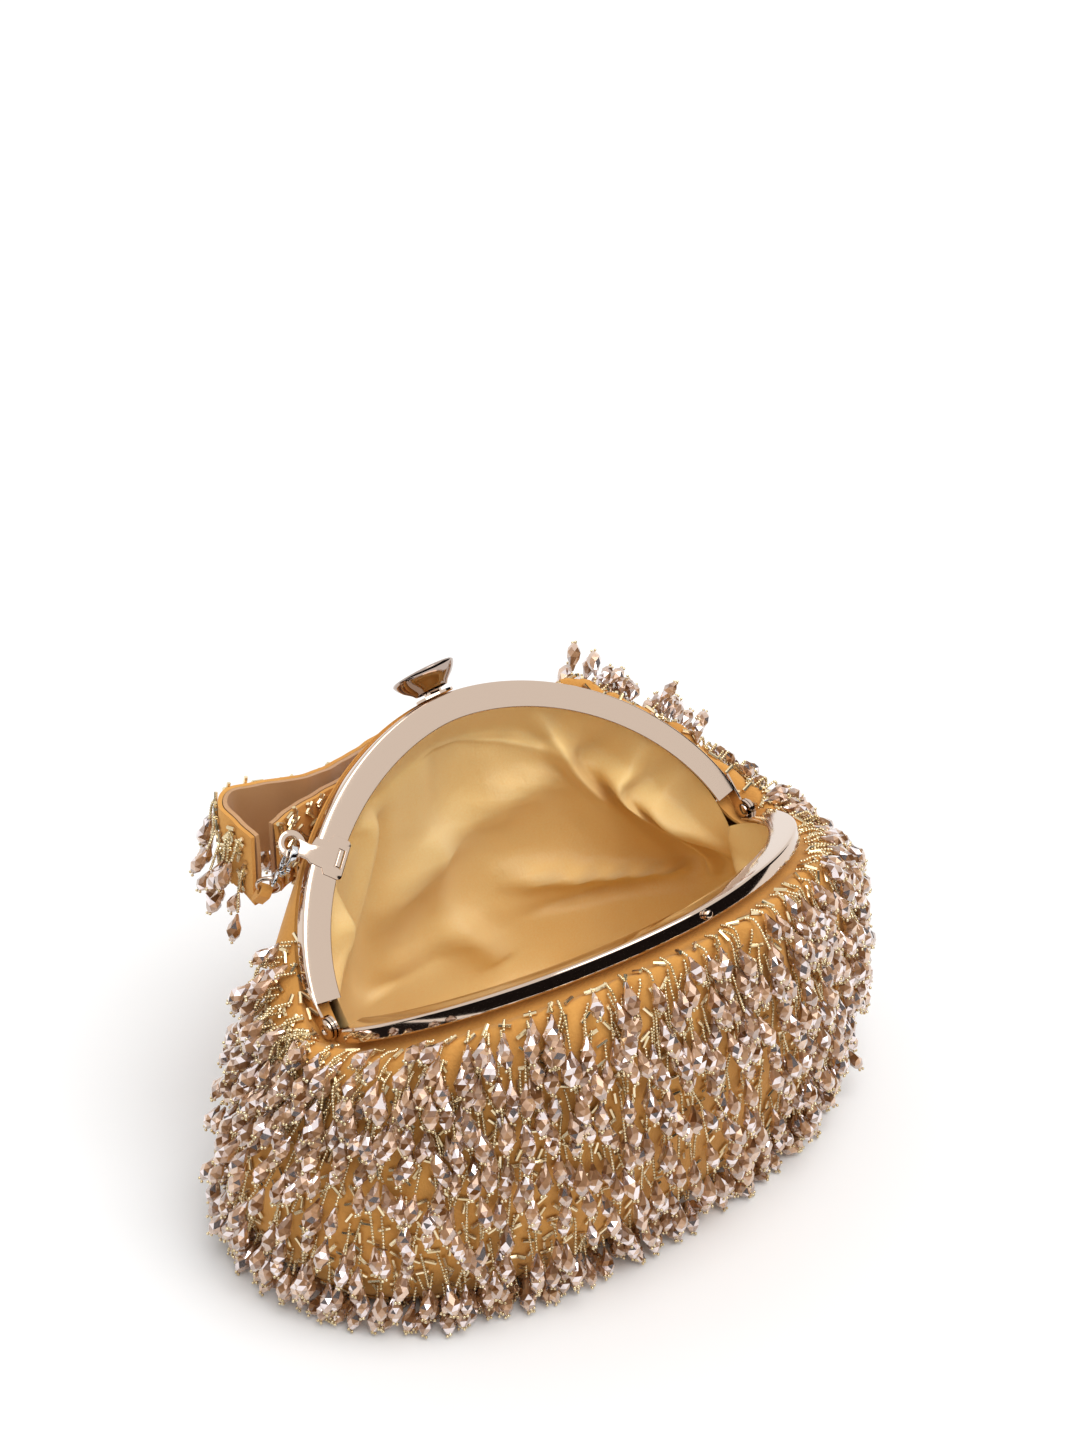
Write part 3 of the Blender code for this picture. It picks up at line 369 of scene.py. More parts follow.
def plate(name, outlines, thick, look, soften=0.0, steps=2):
    curve = bpy.data.curves.new(name, "CURVE")
    curve.dimensions = "2D"
    curve.fill_mode = "BOTH"
    curve.extrude = thick / 2 - soften
    curve.bevel_depth = soften
    curve.bevel_resolution = steps
    curve.offset = -soften
    for outline in outlines:
        spline = curve.splines.new("POLY")
        spline.points.add(len(outline) - 1)
        for point, (x, y) in zip(spline.points, outline):
            point.co = (x, y, 0, 1)
        spline.use_cyclic_u = True
    return fromCurve(name, curve, look)


def fromCurve(name, curve, look, smooth=35):
    made = bpy.data.objects.new(name + "Curve", curve)
    bpy.context.scene.collection.objects.link(made)
    bpy.context.view_layer.update()
    graph = bpy.context.evaluated_depsgraph_get()
    mesh = bpy.data.meshes.new_from_object(made.evaluated_get(graph))
    shape = bmesh.new()
    shape.from_mesh(mesh)
    bmesh.ops.remove_doubles(shape, verts=shape.verts, dist=0.004 * mm)
    bmesh.ops.recalc_face_normals(shape, faces=shape.faces)
    shape.to_mesh(mesh)
    shape.free()
    bpy.data.objects.remove(made, do_unlink=True)
    mesh.name = name
    return link(name, mesh, look, smooth)


def arc(x, y, radius, start, end, steps):
    angles = [math.radians(start + (end - start) * i / steps) for i in range(steps + 1)]
    return [(x + radius * math.cos(a), y + radius * math.sin(a)) for a in angles]


def circle(x, y, radius, steps):
    return arc(x, y, radius, 0, 360, steps)[:-1]


def turned(name, profile, steps, look, smooth=35):
    # a turned piece about Z, its profile (radius, height) running down the outer side
    points = []
    faces = []
    rows = []
    for radius, height in profile:
        if radius == 0:
            rows.append([len(points)] * steps)
            points.append((0, 0, height))
            continue
        rows.append(list(range(len(points), len(points) + steps)))
        for i in range(steps):
            a = 2 * math.pi * i / steps
            points.append((radius * math.cos(a), radius * math.sin(a), height))
    for above, below in zip(rows, rows[1:]):
        for i in range(steps):
            k = (i + 1) % steps
            face = [above[i], below[i], below[k], above[k]]
            faces.append(list(dict.fromkeys(face)))
    return link(name, meshFrom(name, points, faces), look, smooth)


def wire(name, points, radius, look):
    # a closed ring of round wire
    curve = bpy.data.curves.new(name, "CURVE")
    curve.dimensions = "3D"
    curve.bevel_depth = radius
    curve.bevel_resolution = 5
    spline = curve.splines.new("POLY")
    spline.points.add(len(points) - 1)
    for point, at in zip(spline.points, points):
        point.co = (*at, 1)
    spline.use_cyclic_u = True
    return fromCurve(name, curve, look, 60)


def bar(name, radius, length, axis, middle, look, steps=40):
    turn = Vector((0, 0, 1)).rotation_difference(Vector(axis)).to_matrix().to_4x4()
    half = length / 2
    profile = [(0, half), (radius, half), (radius, -half), (0, -half)]
    obj = turned(name, profile, steps, look)
    obj.data.transform(Matrix.Translation(middle) @ turn)
    return obj


def block(name, low, high, look):
    low, high = Vector(low), Vector(high)
    bpy.ops.mesh.primitive_cube_add(size=1)
    obj = bpy.context.active_object
    obj.name = name
    size = Matrix.Diagonal((*(high - low), 1))
    obj.data.transform(Matrix.Translation((low + high) / 2) @ size)
    obj.data.materials.append(finish[look])
    return obj


def boolean(obj, other, operation):
    modifier = obj.modifiers.new(operation.lower(), "BOOLEAN")
    modifier.operation = operation
    modifier.solver = "EXACT"
    modifier.object = other
    select(obj)
    bpy.ops.object.modifier_apply(modifier=modifier.name)
    bpy.data.objects.remove(other, do_unlink=True)


# the two frame bars

ears = {
    "radius": 4.2 * mm,
    "rearInset": 1.9 * mm,
    "gap": 0.3 * mm,
    "overlap": 6 * mm,
    "bore": 1.5 * mm,
    "under": 0.1 * mm,  # how far a limb's strip starts under the face
    "short": 0.3 * mm,  # and ends before the channel's back
    "step": 1.4 * mm,
}


def channelProfile(side):
    c = channel
    r = c["round"]
    back = c["depth"]
    sheet = c["sheet"]
    lip = c["lip"]
    points = [
        (c["face"] - lip, c["gap"] + sheet),
        (sheet, c["gap"] + sheet),
        (sheet, back - sheet),
        (c["back"], back - sheet),
        (c["back"], back),
    ]
    points += arc(r, back - r, r, 90, 180, 6)
    points += arc(r, c["gap"] + r, r, 180, 270, 6)
    points += [
        (c["face"] * 0.35, c["gap"] - 0.05 * mm),
        (c["face"] * 0.7, c["gap"] - 0.05 * mm),
        (c["face"] - lip, c["gap"]),
    ]
    points += arc(c["face"] - lip, c["gap"] + lip, lip, 290, 430, 5)
    return [(-inward, -side * behind) for inward, behind in points]


def frameBar(name, side):
    section = channelProfile(side)
    start = archAngle(channel["limbCut"])
    steps = channel["steps"]
    points = []
    faces = []
    count = len(section)
    for i in range(steps + 1):
        a = start + (math.pi - 2 * start) * i / steps
        step = 0.004
        at = Vector(archPoint(a))
        ahead = Vector(archPoint(a + step)) - Vector(archPoint(a - step))
        ahead.normalize()
        outward = Vector((ahead.y, -ahead.x))
        for x, y in section:
            place = at + outward * x
            points.append((place.x, place.y, y))
    for i in range(steps):
        for j in range(count):
            k = (j + 1) % count
            a, b = i * count, (i + 1) * count
            faces.append((a + j, a + k, b + k, b + j))
    faces.append(tuple(range(count)))
    faces.append(tuple(reversed(range(steps * count, (steps + 1) * count))))
    mesh = meshFrom(name, points, faces)
    shape = bmesh.new()
    shape.from_mesh(mesh)
    bmesh.ops.recalc_face_normals(shape, faces=shape.faces)
    shape.to_mesh(mesh)
    shape.free()
    obj = link(name, mesh, "rose")
    outer = arch["width"] / 2 - ears["rearInset"] + channel["sheet"]
    if side < 0:
        outer -= channel["sheet"] + ears["gap"]
    inner = outer - channel["sheet"]
    middle = (outer + inner) / 2
    top = channel["limbCut"] + ears["overlap"]
    limb = archPoint(archAngle(top))[0] - channel["sheet"] / 2
    near, far = channel["gap"] + ears["under"], channel["depth"] - ears["short"]
    levels = sorted((-side * near, -side * far))
    for hand in (-1, 1):
        across = sorted((hand * outer, hand * inner))
        pieces = [
            bar("lobe", ears["radius"], channel["sheet"], (1, 0, 0), (hand * middle, 0, 0), "rose", 56),
            block("strip", (across[0], 0, levels[0]), (across[1], top, levels[1]), "rose"),
        ]
        if side < 0:
            ends = sorted((hand * (inner + channel["sheet"] / 3), hand * limb))
            low = channel["limbCut"] + ears["step"]
            pieces.append(block("step", (ends[0], low, levels[0]), (ends[1], top, levels[1]), "rose"))
        for piece in pieces:
            boolean(obj, piece, "UNION")
        bore = bar("bore", ears["bore"], 4 * channel["sheet"], (1, 0, 0), (hand * middle, 0, 0), "rose", 32)
        boolean(obj, bore, "DIFFERENCE")
    obj.data.transform(barMatrix(side))
    obj.data.shade_smooth()
    obj.data.set_sharp_from_angle(angle=math.radians(32))
    body = "bag" if side > 0 else "front_frame"
    return finished(obj, body, "frame", "rear_frame_bar" if side > 0 else "front_frame_bar")


frameBar("rearBar", 1)
frameBar("frontBar", -1)
print("frame bars made")

# hinge rivets

rivet = {
    "head": 3.6 * mm,
    "thick": 1.1 * mm,
    "shank": 1.4 * mm,
    "tail": 2.6 * mm,
    "recess": 0.75 * mm,
    "steps": 56,
}


def hingeRivet(name, hand):
    r = rivet["head"]
    outer = arch["width"] / 2 - ears["rearInset"] + channel["sheet"]
    inner = outer - 2 * channel["sheet"] - ears["gap"]
    low = outer + 0.3 * mm
    high = low + rivet["thick"]
    tail = inner - 0.3 * mm
    profile = [
        (0, high - rivet["recess"]),
        (r * 0.40, high - rivet["recess"]),
        (r * 0.46, high - 0.2 * mm),
        (r * 0.52, high),
        (r * 0.64, high + 0.02 * mm),
        (r * 0.76, high - 0.12 * mm),
        (r * 0.82, high - 0.30 * mm),
        (r * 0.90, high - 0.26 * mm),
        (r * 0.98, high - 0.45 * mm),
        (r, high - 0.7 * mm),
        (r, low),
        (rivet["shank"], low),
        (rivet["shank"], tail),
        (rivet["tail"], tail),
        (rivet["tail"] * 0.93, tail - 0.45 * mm),
        (rivet["tail"] * 0.7, tail - 0.75 * mm),
        (rivet["tail"] * 0.35, tail - 0.95 * mm),
        (0, tail - 1.0 * mm),
    ]
    obj = turned(name, profile, rivet["steps"], "rose", 28)
    across = Vector((hand, 0, 0))
    up = Vector((0, 1, 0))
    settle(obj, barMatrix(1) @ basis(up.cross(across), up, across, Vector((0, 0, 0))))
    node = "left_hinge_rivet" if hand < 0 else "right_hinge_rivet"
    return finished(obj, "bag", "frame", node)


hingeRivet("leftRivet", -1)
hingeRivet("rightRivet", 1)

# clasp: the tipping cup, and the stud that it holds

clasp = {
    "top": 12.0 * mm,
    "lip": 6.4 * mm,
    "height": 7.1 * mm,
    "wall": 0.8 * mm,
    "rise": 2.7 * mm,
    "eye": 1.5 * mm,
    "saddle": 0.9 * mm,
    "stud": 1.4 * mm,
    "studHigh": 2.3 * mm,
    "steps": 96,
}


def claspCup():
    seat = arch["rise"] + 0.3 * mm
    pivot = seat + clasp["saddle"] + clasp["eye"] + 0.25 * mm
    middle = (channel["gap"] + channel["depth"]) / 2
    roof = seat + clasp["rise"] + clasp["height"] * 0.45 - pivot
    lip = seat + clasp["rise"] - pivot
    top = lip + clasp["height"]
    wide = clasp["top"]
    profile = [
        (0, top - 0.15 * mm),
        (wide - 1.9 * mm, top - 0.1 * mm),
        (wide - 1.6 * mm, top + 0.1 * mm),
        (wide - 1.3 * mm, top + 0.33 * mm),
        (wide - 0.8 * mm, top + 0.36 * mm),
        (wide - 0.3 * mm, top + 0.16 * mm),
        (wide, top - 0.3 * mm),
        (wide, top - 0.7 * mm),
        (wide - 0.3 * mm, top - 1.3 * mm),
        (wide - 0.95 * mm, top - 2.4 * mm),
        (wide - 2.3 * mm, top - 4.0 * mm),
        (clasp["lip"] + 0.9 * mm, lip + 1.2 * mm),
        (clasp["lip"] + 0.35 * mm, lip + 0.55 * mm),
        (clasp["lip"] + 0.1 * mm, lip + 0.2 * mm),
        (clasp["lip"] - 0.1 * mm, lip),
        (clasp["lip"] - clasp["wall"], lip + 0.1 * mm),
        (clasp["lip"] - clasp["wall"] + 1.2 * mm, roof - 0.4 * mm),
        (clasp["lip"] - clasp["wall"] + 0.8 * mm, roof),
        (0, roof),
    ]
    # the cup wears the darker rose gold: painted dark reflection
    obj = turned("claspCup", profile, clasp["steps"], "knobPaintedDark", 30)
    upright = basis(Vector((1, 0, 0)), Vector((0, 0, -1)), Vector((0, 1, 0)), Vector((0, 0, 0)))
    settle(obj, barMatrix(1) @ Matrix.Translation((0, pivot, -middle)) @ upright)
    return finished(obj, "clasp", "frame", "clasp_cup")


def claspStud():
    base = arch["rise"] + 0.02 * mm
    high = clasp["studHigh"]
    head = clasp["stud"]
    profile = [
        (0, base + high),
        (head * 0.5, base + high * 0.99),
        (head * 0.82, base + high * 0.93),
        (head, base + high * 0.82),
        (head, base + high * 0.64),
        (head * 0.9, base + high * 0.56),
        (0.9 * mm, base + high * 0.45),
        (0.9 * mm, base + 0.3 * mm),
        (head * 1.15, base + 0.22 * mm),
        (head * 1.25, base),
        (0, base),
    ]
    obj = turned("claspStud", profile, 40, "rose", 40)
    middle = (channel["gap"] + channel["depth"]) / 2
    lie = basis(Vector((1, 0, 0)), Vector((0, 0, -1)), Vector((0, 1, 0)), Vector((0, 0, middle)))
    settle(obj, barMatrix(-1) @ lie)
    return finished(obj, "front_frame", "frame", "clasp_stud")


claspCup()
claspStud()

# strap lug on the rear bar's left limb

lug = {
    "rise": 56 * mm,
    "plate": 0.9 * mm,
    "proud": 0.3 * mm,
    "length": 15 * mm,
    "reach": 8.2 * mm,
    "shift": 2 * mm,
    "ring": 5.0 * mm,
    "hole": 2.9 * mm,
    "neck": 5.6 * mm,
    "slot": (2.4 * mm, 7.0 * mm),
    "past": 1.6 * mm,  # how far the plate runs past the face
    "rim": 1.6 * mm,
    "soften": 0.14 * mm,
}


def lugMatrix():
    angle = math.pi - archAngle(lug["rise"])
    step = 0.01
    at = Vector((*archPoint(angle), 0))
    along = Vector((*archPoint(angle - step), 0)) - Vector((*archPoint(angle + step), 0))
    along.normalize()
    off = Vector((0, 0, 1))
    outward = along.cross(off) * -1
    middle = at + off * (lug["proud"] - channel["gap"] - lug["plate"] / 2)
    return basis(outward, off.cross(outward), off, middle)


def strapLug():
    half = lug["length"] / 2
    reach = channel["face"] + lug["past"]
    neck = lug["neck"] / 2
    ring = lug["reach"]
    shift = lug["shift"]
    rim = lug["rim"]
    turn = math.degrees(math.asin(neck / lug["ring"]))
    outline = [
        (-reach + rim, -half),
        (-reach * 0.45, -half),
        (-reach * 0.3, -half * 0.55),
        (rim * 0.4, -half * 0.55),
        (rim, shift - neck),
        *arc(ring, shift, lug["ring"], 180 + turn, 540 - turn, 60),
        (rim, shift + neck),
        (rim * 0.2, half * 0.75),
        (-reach * 0.35, half * 0.75),
        (-reach * 0.45, half),
        (-reach + rim, half),
        *arc(-reach + rim, half - rim, rim, 90, 180, 6)[1:],
        *arc(-reach + rim, -half + rim, rim, 180, 270, 6)[:-1],
    ]
    hole = circle(ring, shift, lug["hole"], 48)
    x = 0.9 * mm - channel["face"]
    wide, high = lug["slot"]
    slot = [
        (x - wide / 2, -high / 2),
        (x + wide / 2, -high / 2),
        (x + wide / 2, high / 2),
        (x - wide / 2, high / 2),
    ]
    obj = plate("strapLug", [outline, hole, slot], lug["plate"], "rose", lug["soften"])
    settle(obj, barMatrix(1) @ lugMatrix())
    finished(obj, "bag", "frame", "strap_lug")


strapLug()

# lobster claw, swivel and strap ring

claw = {
    "length": 13 * mm,
    "width": 9.0 * mm,
    "bar": 1.9 * mm,
    "thick": 2.4 * mm,
    "turn": math.radians(8),
    "hold": 2.9 * mm,
    "point": Vector((-84, 59, 109)) * mm,
    "gate": 1.3 * mm,
    "gateGap": 0.3 * mm,
    "thumb": 1.1 * mm,
    "neckLong": 1.8 * mm,
    "neck": 0.9 * mm,
    "eye": 2.4 * mm,
    "eyeWire": 0.7 * mm,
    "ring": 4.0 * mm,
    "ringWire": 0.8 * mm,
    "soften": 0.45 * mm,
}


def clawMatrix():
    normal = barMatrix(1).to_3x3() @ Vector((0, 0, 1))
    ring = barMatrix(1) @ lugMatrix() @ Vector((lug["reach"], lug["shift"], 0))
    hang = (claw["point"] - ring).normalized()
    down = (hang - normal * hang.dot(normal)).normalized()
    held = ring + down * (lug["ring"] + lug["hole"]) / 2
    out = Matrix.Rotation(claw["turn"], 3, hang) @ down.cross(normal)
    up = -hang
    return basis(up.cross(out), up, out, held + up * claw["hold"])


def clawParts():
    matrix = clawMatrix()
    half, thin = claw["width"] / 2, claw["bar"]
    low = -claw["length"] + thin

    def drop(width, top, bottom, steps=80):
        points = []
        for i in range(steps):
            a = 2 * math.pi * i / steps
            y = (top + bottom) / 2 + (top - bottom) / 2 * math.sin(a)
            points.append((width * math.cos(a) * (0.78 + 0.22 * math.sin(a)), y))
        return points

    outer = drop(half, thin / 2, low - thin)
    inner = drop(half - thin, -thin / 2, low + thin * 0.6)
    hook = plate("clawHook", [outer, inner], claw["thick"], "chrome", claw["soften"], 3)
    pinAt = Vector((half * 0.50, low + 0.4 * mm, 0))
    gateTop = -claw["length"] * 0.30
    window = block(
        "window", (0.15 * half, pinAt.y, -claw["thick"]), (half * 1.4, gateTop, claw["thick"]), "chrome"
    )
    slot = bar("slot", thin * 1.05, claw["gate"] + 2 * claw["gateGap"], (0, 0, 1), pinAt, "chrome")
    longNeck = claw["neckLong"] + thin
    neckAt = (0, low - thin - claw["neckLong"] / 2 + thin / 2, 0)
    neck = bar("neck", claw["neck"], longNeck, (0, 1, 0), neckAt, "chrome")
    for piece, operation in ((window, "DIFFERENCE"), (slot, "DIFFERENCE"), (neck, "UNION")):
        boolean(hook, piece, operation)
    hook.data.set_sharp_from_angle(angle=math.radians(40))
    settle(hook, matrix)
    finished(hook, "claw", "claw", "claw_hook")

    right = [p for p in outer if p[0] > 0.2 * half and pinAt.y < p[1] < gateTop - 2 * claw["gateGap"]]
    inside = [
        p
        for p in inner
        if p[0] > 0.15 * half and pinAt.y + thin * 0.6 < p[1] < gateTop - 2 * claw["gateGap"]
    ]
    right.sort(key=lambda p: p[1])
    inside.sort(key=lambda p: -p[1])
    root = arc(pinAt.x, pinAt.y, thin * 0.75, 150, 390, 24)
    gate = plate("clawGate", [root + right + inside], claw["gate"], "chrome", 0.12 * mm)
    thumbAt = (pinAt.x + half * 0.42, gateTop * 1.5, 0)
    thumb = bar("thumb", claw["thumb"], claw["gate"], (0, 0, 1), thumbAt, "chrome")
    boolean(gate, thumb, "UNION")
    gate.data.set_sharp_from_angle(angle=math.radians(40))
    settle(gate, matrix)
    finished(gate, "claw_gate", "claw", "claw_gate")

    eyeMiddle = Vector((0, low - thin - claw["neckLong"] - claw["eye"] - claw["eyeWire"] - 0.1 * mm, 0))
    eyePoints = []
    ringPoints = []
    gap = claw["eyeWire"] + claw["ringWire"] + 0.3 * mm
    ringMiddle = eyeMiddle + Vector((0, -(claw["ring"] + claw["eye"] - gap), 0))
    for i in range(48):
        a = 2 * math.pi * i / 48
        eyePoints.append(eyeMiddle + claw["eye"] * Vector((math.cos(a), math.sin(a), 0)))
        ringPoints.append(ringMiddle + claw["ring"] * Vector((0, math.sin(a), math.cos(a))))
    eye = wire("swivelEye", eyePoints, claw["eyeWire"], "chrome")
    settle(eye, matrix)
    finished(eye, "bag", "claw", "claw_swivel_eye")
    ring = wire("strapRing", ringPoints, claw["ringWire"], "rose")
    settle(ring, matrix)
    finished(ring, "bag", "frame", "strap_ring")


clawParts()
for name, look in (
    ("clasp_saddle", "rose"),
    ("clasp_pin", "rose"),
    ("clasp_post", "rose"),
    ("lug_tongue", "rose"),
    ("claw_gate_pin", "chrome"),
    ("strap_tab", "velvet"),
    ("rear_channel_cord", "twine"),
    ("front_channel_cord", "twine"),
    ("base_board", "board"),
    ("base_velvet", "velvet"),
):
    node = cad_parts[name]
    node.data.materials.clear()
    node.data.materials.append(finish[look])
print("metal pieces made")

# the pouch's cloth, from the same sections as the CAD source

pouch = {
    # height, left, right, front and rear reach, roundness
    "sections": (
        (0.5, 111, 101, 61, 47, 2.4),
        (5, 122, 111, 69, 55, 2.4),
        (20, 129, 118, 76, 61, 2.35),
        (40, 129, 120, 81, 63, 2.3),
        (62, 123, 120, 86, 63, 2.2),
        (80, 115, 119, 88, 62, 2.1),
    ),
    # depth inside the arch, distance behind the face, and the place beside and over the hinge
    "brim": ((-5.5, 9.0, 9, 2.0), (2.0, 9.8, 1, -4.5), (8.0, 6.05, -6, -3.0)),
    "liningBrim": ((24, 24, -3, -22), (14, 17, -9, -12), (9.6, 2.4, -10.5, -4)),
    "columns": 48,
    "sideBlend": (0.42, 0.34, 0.2),  # how near the hinge each row leaves the frame
    "tuckReach": (44 * mm, 62 * mm),
    "tuckDepth": 6 * mm,
    "tuckBack": 2 * mm,
    # the front roll sits this much further in and behind, so that the bar's rim shows
    "frontTuck": (1.2 * mm, 2.8 * mm),
    "shoulder": 3 * mm,
    "gathers": 14,
    "gatherDepth": 1.8 * mm,
    "gatherShare": (0, 0, 0, 0.3, 0.6, 1),
    "puckers": 46,
    "slowPuckers": 27,
    "puckerDepth": 1.5 * mm,
    "hollow": 0.9 * mm,
    "velvet": 1.4 * mm,
    "fine": 8,  # rows between two of the CAD's, and points between two columns
}


def columnTurn(column):
    angle = 2 * math.pi * column / pouch["columns"] % (2 * math.pi)
    return (1, angle) if angle <= math.pi else (-1, 2 * math.pi - angle)


def sideBlend(turn, row=0):
    near = min(1.0, min(turn, math.pi - turn) / pouch["sideBlend"][row])
    return near * near * (3 - 2 * near)


def wallRow(number, column, inset, out=0.0):
    sections = pouch["sections"]
    z, left, right, front, rear, power = sections[number]
    before = sections[max(number - 1, 0)]
    after = sections[min(number + 1, len(sections) - 1)]
    run = Vector((after[1] - before[1], after[0] - before[0])).normalized()
    shrink = (inset - out) / mm * run.y
    side, turn = columnTurn(column)
    x = signedPower(math.cos(turn), 2 / power)
    y = side * abs(math.sin(turn)) ** (2 / power)
    wide = (right if x > 0 else left) - shrink
    deep = (rear if side > 0 else front) - shrink
    return Vector((x * wide * mm, y * deep * mm, z * mm + inset * run.x))


def brimRow(row, column, depth=0.0, behind=0.0, number=0):
    rowDepth, rowBehind, wide, over = (value * mm for value in row)
    side, turn = columnTurn(column)
    across, up = archPoint(turn, rowDepth + depth)
    onFrame = framePoint(side, across, up, rowBehind + behind)
    beside = arch["width"] / 2 + wide - depth
    overHinge = Vector((math.copysign(beside, across), 0, arch["hinge"] + over - behind))
    return overHinge.lerp(onFrame, sideBlend(turn, number))


def gather(column):
    turn = columnTurn(column)[1]
    wave = 0.5 + 0.5 * math.cos(2 * math.pi * pouch["gathers"] * column / pouch["columns"])
    return pouch["gatherDepth"] * wave * sideBlend(turn)


def rearTuck(column):
    side, turn = columnTurn(column)
    if side < 0:
        return 0.0
    near, far = pouch["tuckReach"]
    share = min(1.0, max(0.0, (far - archPoint(turn)[0]) / (far - near)))
    return share * share * (3 - 2 * share) * sideBlend(turn)


def crestPoint(column, rise=0.0):
    low = rearTuck(column)
    depth = low * pouch["tuckDepth"] - rise * (1 - low)
    behind = low * pouch["tuckBack"]
    if columnTurn(column)[0] < 0:
        share = sideBlend(columnTurn(column)[1])
        depth += share * pouch["frontTuck"][0]
        behind += share * pouch["frontTuck"][1]
    return brimRow(pouch["brim"][0], column, depth, behind)


def through(a, b, c, d, t):
    # a smooth curve through four points, between the middle two
    return 0.5 * (
        2 * b + (c - a) * t + (2 * a - 5 * b + 4 * c - d) * t**2 + (3 * b - a - 3 * c + d) * t**3
    )


def refine(rows, times):
    made = []
    last = len(rows) - 1
    for i in range(last):
        around = [rows[max(i - 1, 0)], rows[i], rows[i + 1], rows[min(i + 2, last)]]
        for k in range(times):
            t = k / times
            made.append([through(*points, t) for points in zip(*around)])
    made.append(rows[-1])
    return made


def spread(first, last, step):
    count = max(2, int(round((last - first) / step)))
    return [first + (last - first) * i / count for i in range(count + 1)]


def outerRows(columns, upTo=None):
    rows = []
    for number, share in enumerate(pouch["gatherShare"]):
        rows.append([wallRow(number, c, 0, gather(c) * share) for c in columns])
    if upTo is not None:
        return rows[: upTo + 1]
    crest = [crestPoint(c, gather(c)) for c in columns]
    shoulder = []
    for below, above in zip(rows[-1], crest):
        middle = (below + above) / 2
        outward = Vector((middle.x / 2, middle.y, 0)).normalized()
        shoulder.append(middle + outward * pouch["shoulder"])
    rows += [shoulder, crest]
    for number, row in enumerate(pouch["brim"][1:]):
        rows.append([brimRow(row, c, number=number + 1) for c in columns])
    return rows


outsides = {}  # each cloth's outer face, to lay the beads on


def gridPiece(name, rows, look, thick, smooth=60):
    # a cloth piece through rows of points, its outer face on them
    count = len(rows[0])
    points = [p for row in rows for p in row]
    faces = []
    for i in range(len(rows) - 1):
        for j in range(count - 1):
            a = i * count + j
            faces.append((a, a + 1, a + count + 1, a + count))
    mesh = meshFrom(name, points, faces)
    layer = mesh.uv_layers.new(name="cloth")
    uvs = np.zeros((len(points), 2))
    along = 0.0
    for j in range(count):
        if j:
            along += (rows[len(rows) // 2][j] - rows[len(rows) // 2][j - 1]).length
        down = 0.0
        for i in range(len(rows)):
            if i:
                down += (rows[i][j] - rows[i - 1][j]).length
            uvs[i * count + j] = (along, down)
    index = np.zeros(len(mesh.loops), np.int32)
    mesh.loops.foreach_get("vertex_index", index)
    layer.data.foreach_set("uv", uvs[index].astype(np.float32).ravel())
    outsides[name] = BVHTree.FromPolygons(points, faces)
    obj = link(name, mesh, look, smooth)
    if thick:
        wall = obj.modifiers.new("wall", "SOLIDIFY")
        wall.thickness = thick
        wall.offset = -1
        wall.use_even_offset = False
        settle(obj)
        obj.data.set_sharp_from_angle(angle=math.radians(smooth))
    return obj


def puckered(rows, columns):
    # small radial puckers that die away below the frame
    crest = 7 * pouch["fine"]
    for i, row in enumerate(rows):
        share = math.exp(-(((i - crest) / (1.1 * pouch["fine"])) ** 2))
        for j, c in enumerate(columns):
            wave = math.sin(2 * math.pi * pouch["puckers"] * c / pouch["columns"] + 1.7 * math.sin(c))
            wave += 0.6 * math.sin(2 * math.pi * pouch["slowPuckers"] * c / pouch["columns"] + 2.0)
            low = math.sin(0.9 * c + 0.11 * i) * math.sin(0.37 * c - 0.07 * i + 1)
            outward = Vector((row[j].x / 2, row[j].y, 0.02)).normalized()
            room = 1 - rearTuck(c)
            move = (pouch["puckerDepth"] * wave * share - pouch["hollow"] * low) * room
            if i < pouch["fine"]:
                move = 0
            row[j] = row[j] + outward * move * 0.7
    return rows


def clothPiece(name, first, last, inset=0.0, upTo=None):
    columns = spread(first, last, 1 / 6)
    rows = puckered(refine(outerRows(columns, upTo), pouch["fine"]), columns)
    if inset:
        for row in rows:
            for j, p in enumerate(row):
                row[j] = p - Vector((p.x / 2, p.y, 0)).normalized() * inset
    return gridPiece(name, rows, "velvet", pouch["velvet"] * 0.7)


rearCloth = clothPiece("rearCloth", 0, 24)
frontCloth = clothPiece("frontCloth", 24, 48)
gussetLeft = clothPiece("gussetLeft", 23.5, 27.5, 1.6 * mm, 5)
gussetRight = clothPiece("gussetRight", 44.5, 48.5, 1.6 * mm, 5)
print("velvet made")

# lining

lining = {
    "inset": 9.0 * mm,
    "floor": 8.4 * mm,
    "sections": (1, 2, 3, 4),
    "foldDepth": 3.2 * mm,
    "deepest": 1.5 * mm,  # how far a fold goes outward before it is eased
    "ease": 3.4 * mm,
    # folds: start and end as (column, level from 0 at the floor to 1 at the frame), width, height
    "folds": (
        (5.4, 0.62, 9.0, 1.0, 0.022, 8.5),
        (3.9, 0.42, 6.3, 1.0, 0.024, -8.0),
        (3.0, 0.42, 4.4, 1.0, 0.020, 9.0),
        (2.0, 0.50, 2.6, 1.0, 0.016, 5.0),
        (14.4, 0.56, 7.0, 0.64, 0.017, 7.5),
        (14.0, 0.50, 7.8, 0.56, 0.034, -4.5),
        (10.6, 0.52, 4.0, 0.42, 0.015, 7.5),
        (9.0, 0.40, 4.4, 0.36, 0.034, -4.0),
        (12.6, 0.40, 9.6, 0.98, 0.050, -3.5),
        (15.6, 0.66, 14.0, 0.40, 0.020, -6.5),
        (16.6, 0.30, 16.4, 0.98, 0.024, 5.0),
        (18.6, 0.20, 18.4, 0.95, 0.026, -5.0),
        (20.8, 0.10, 20.4, 0.98, 0.028, 5.0),
        (12.4, 0.58, 11.0, 0.26, 0.020, 6.5),
        (7.4, 0.72, 12.2, 0.80, 0.030, 3.0),
    ),
}


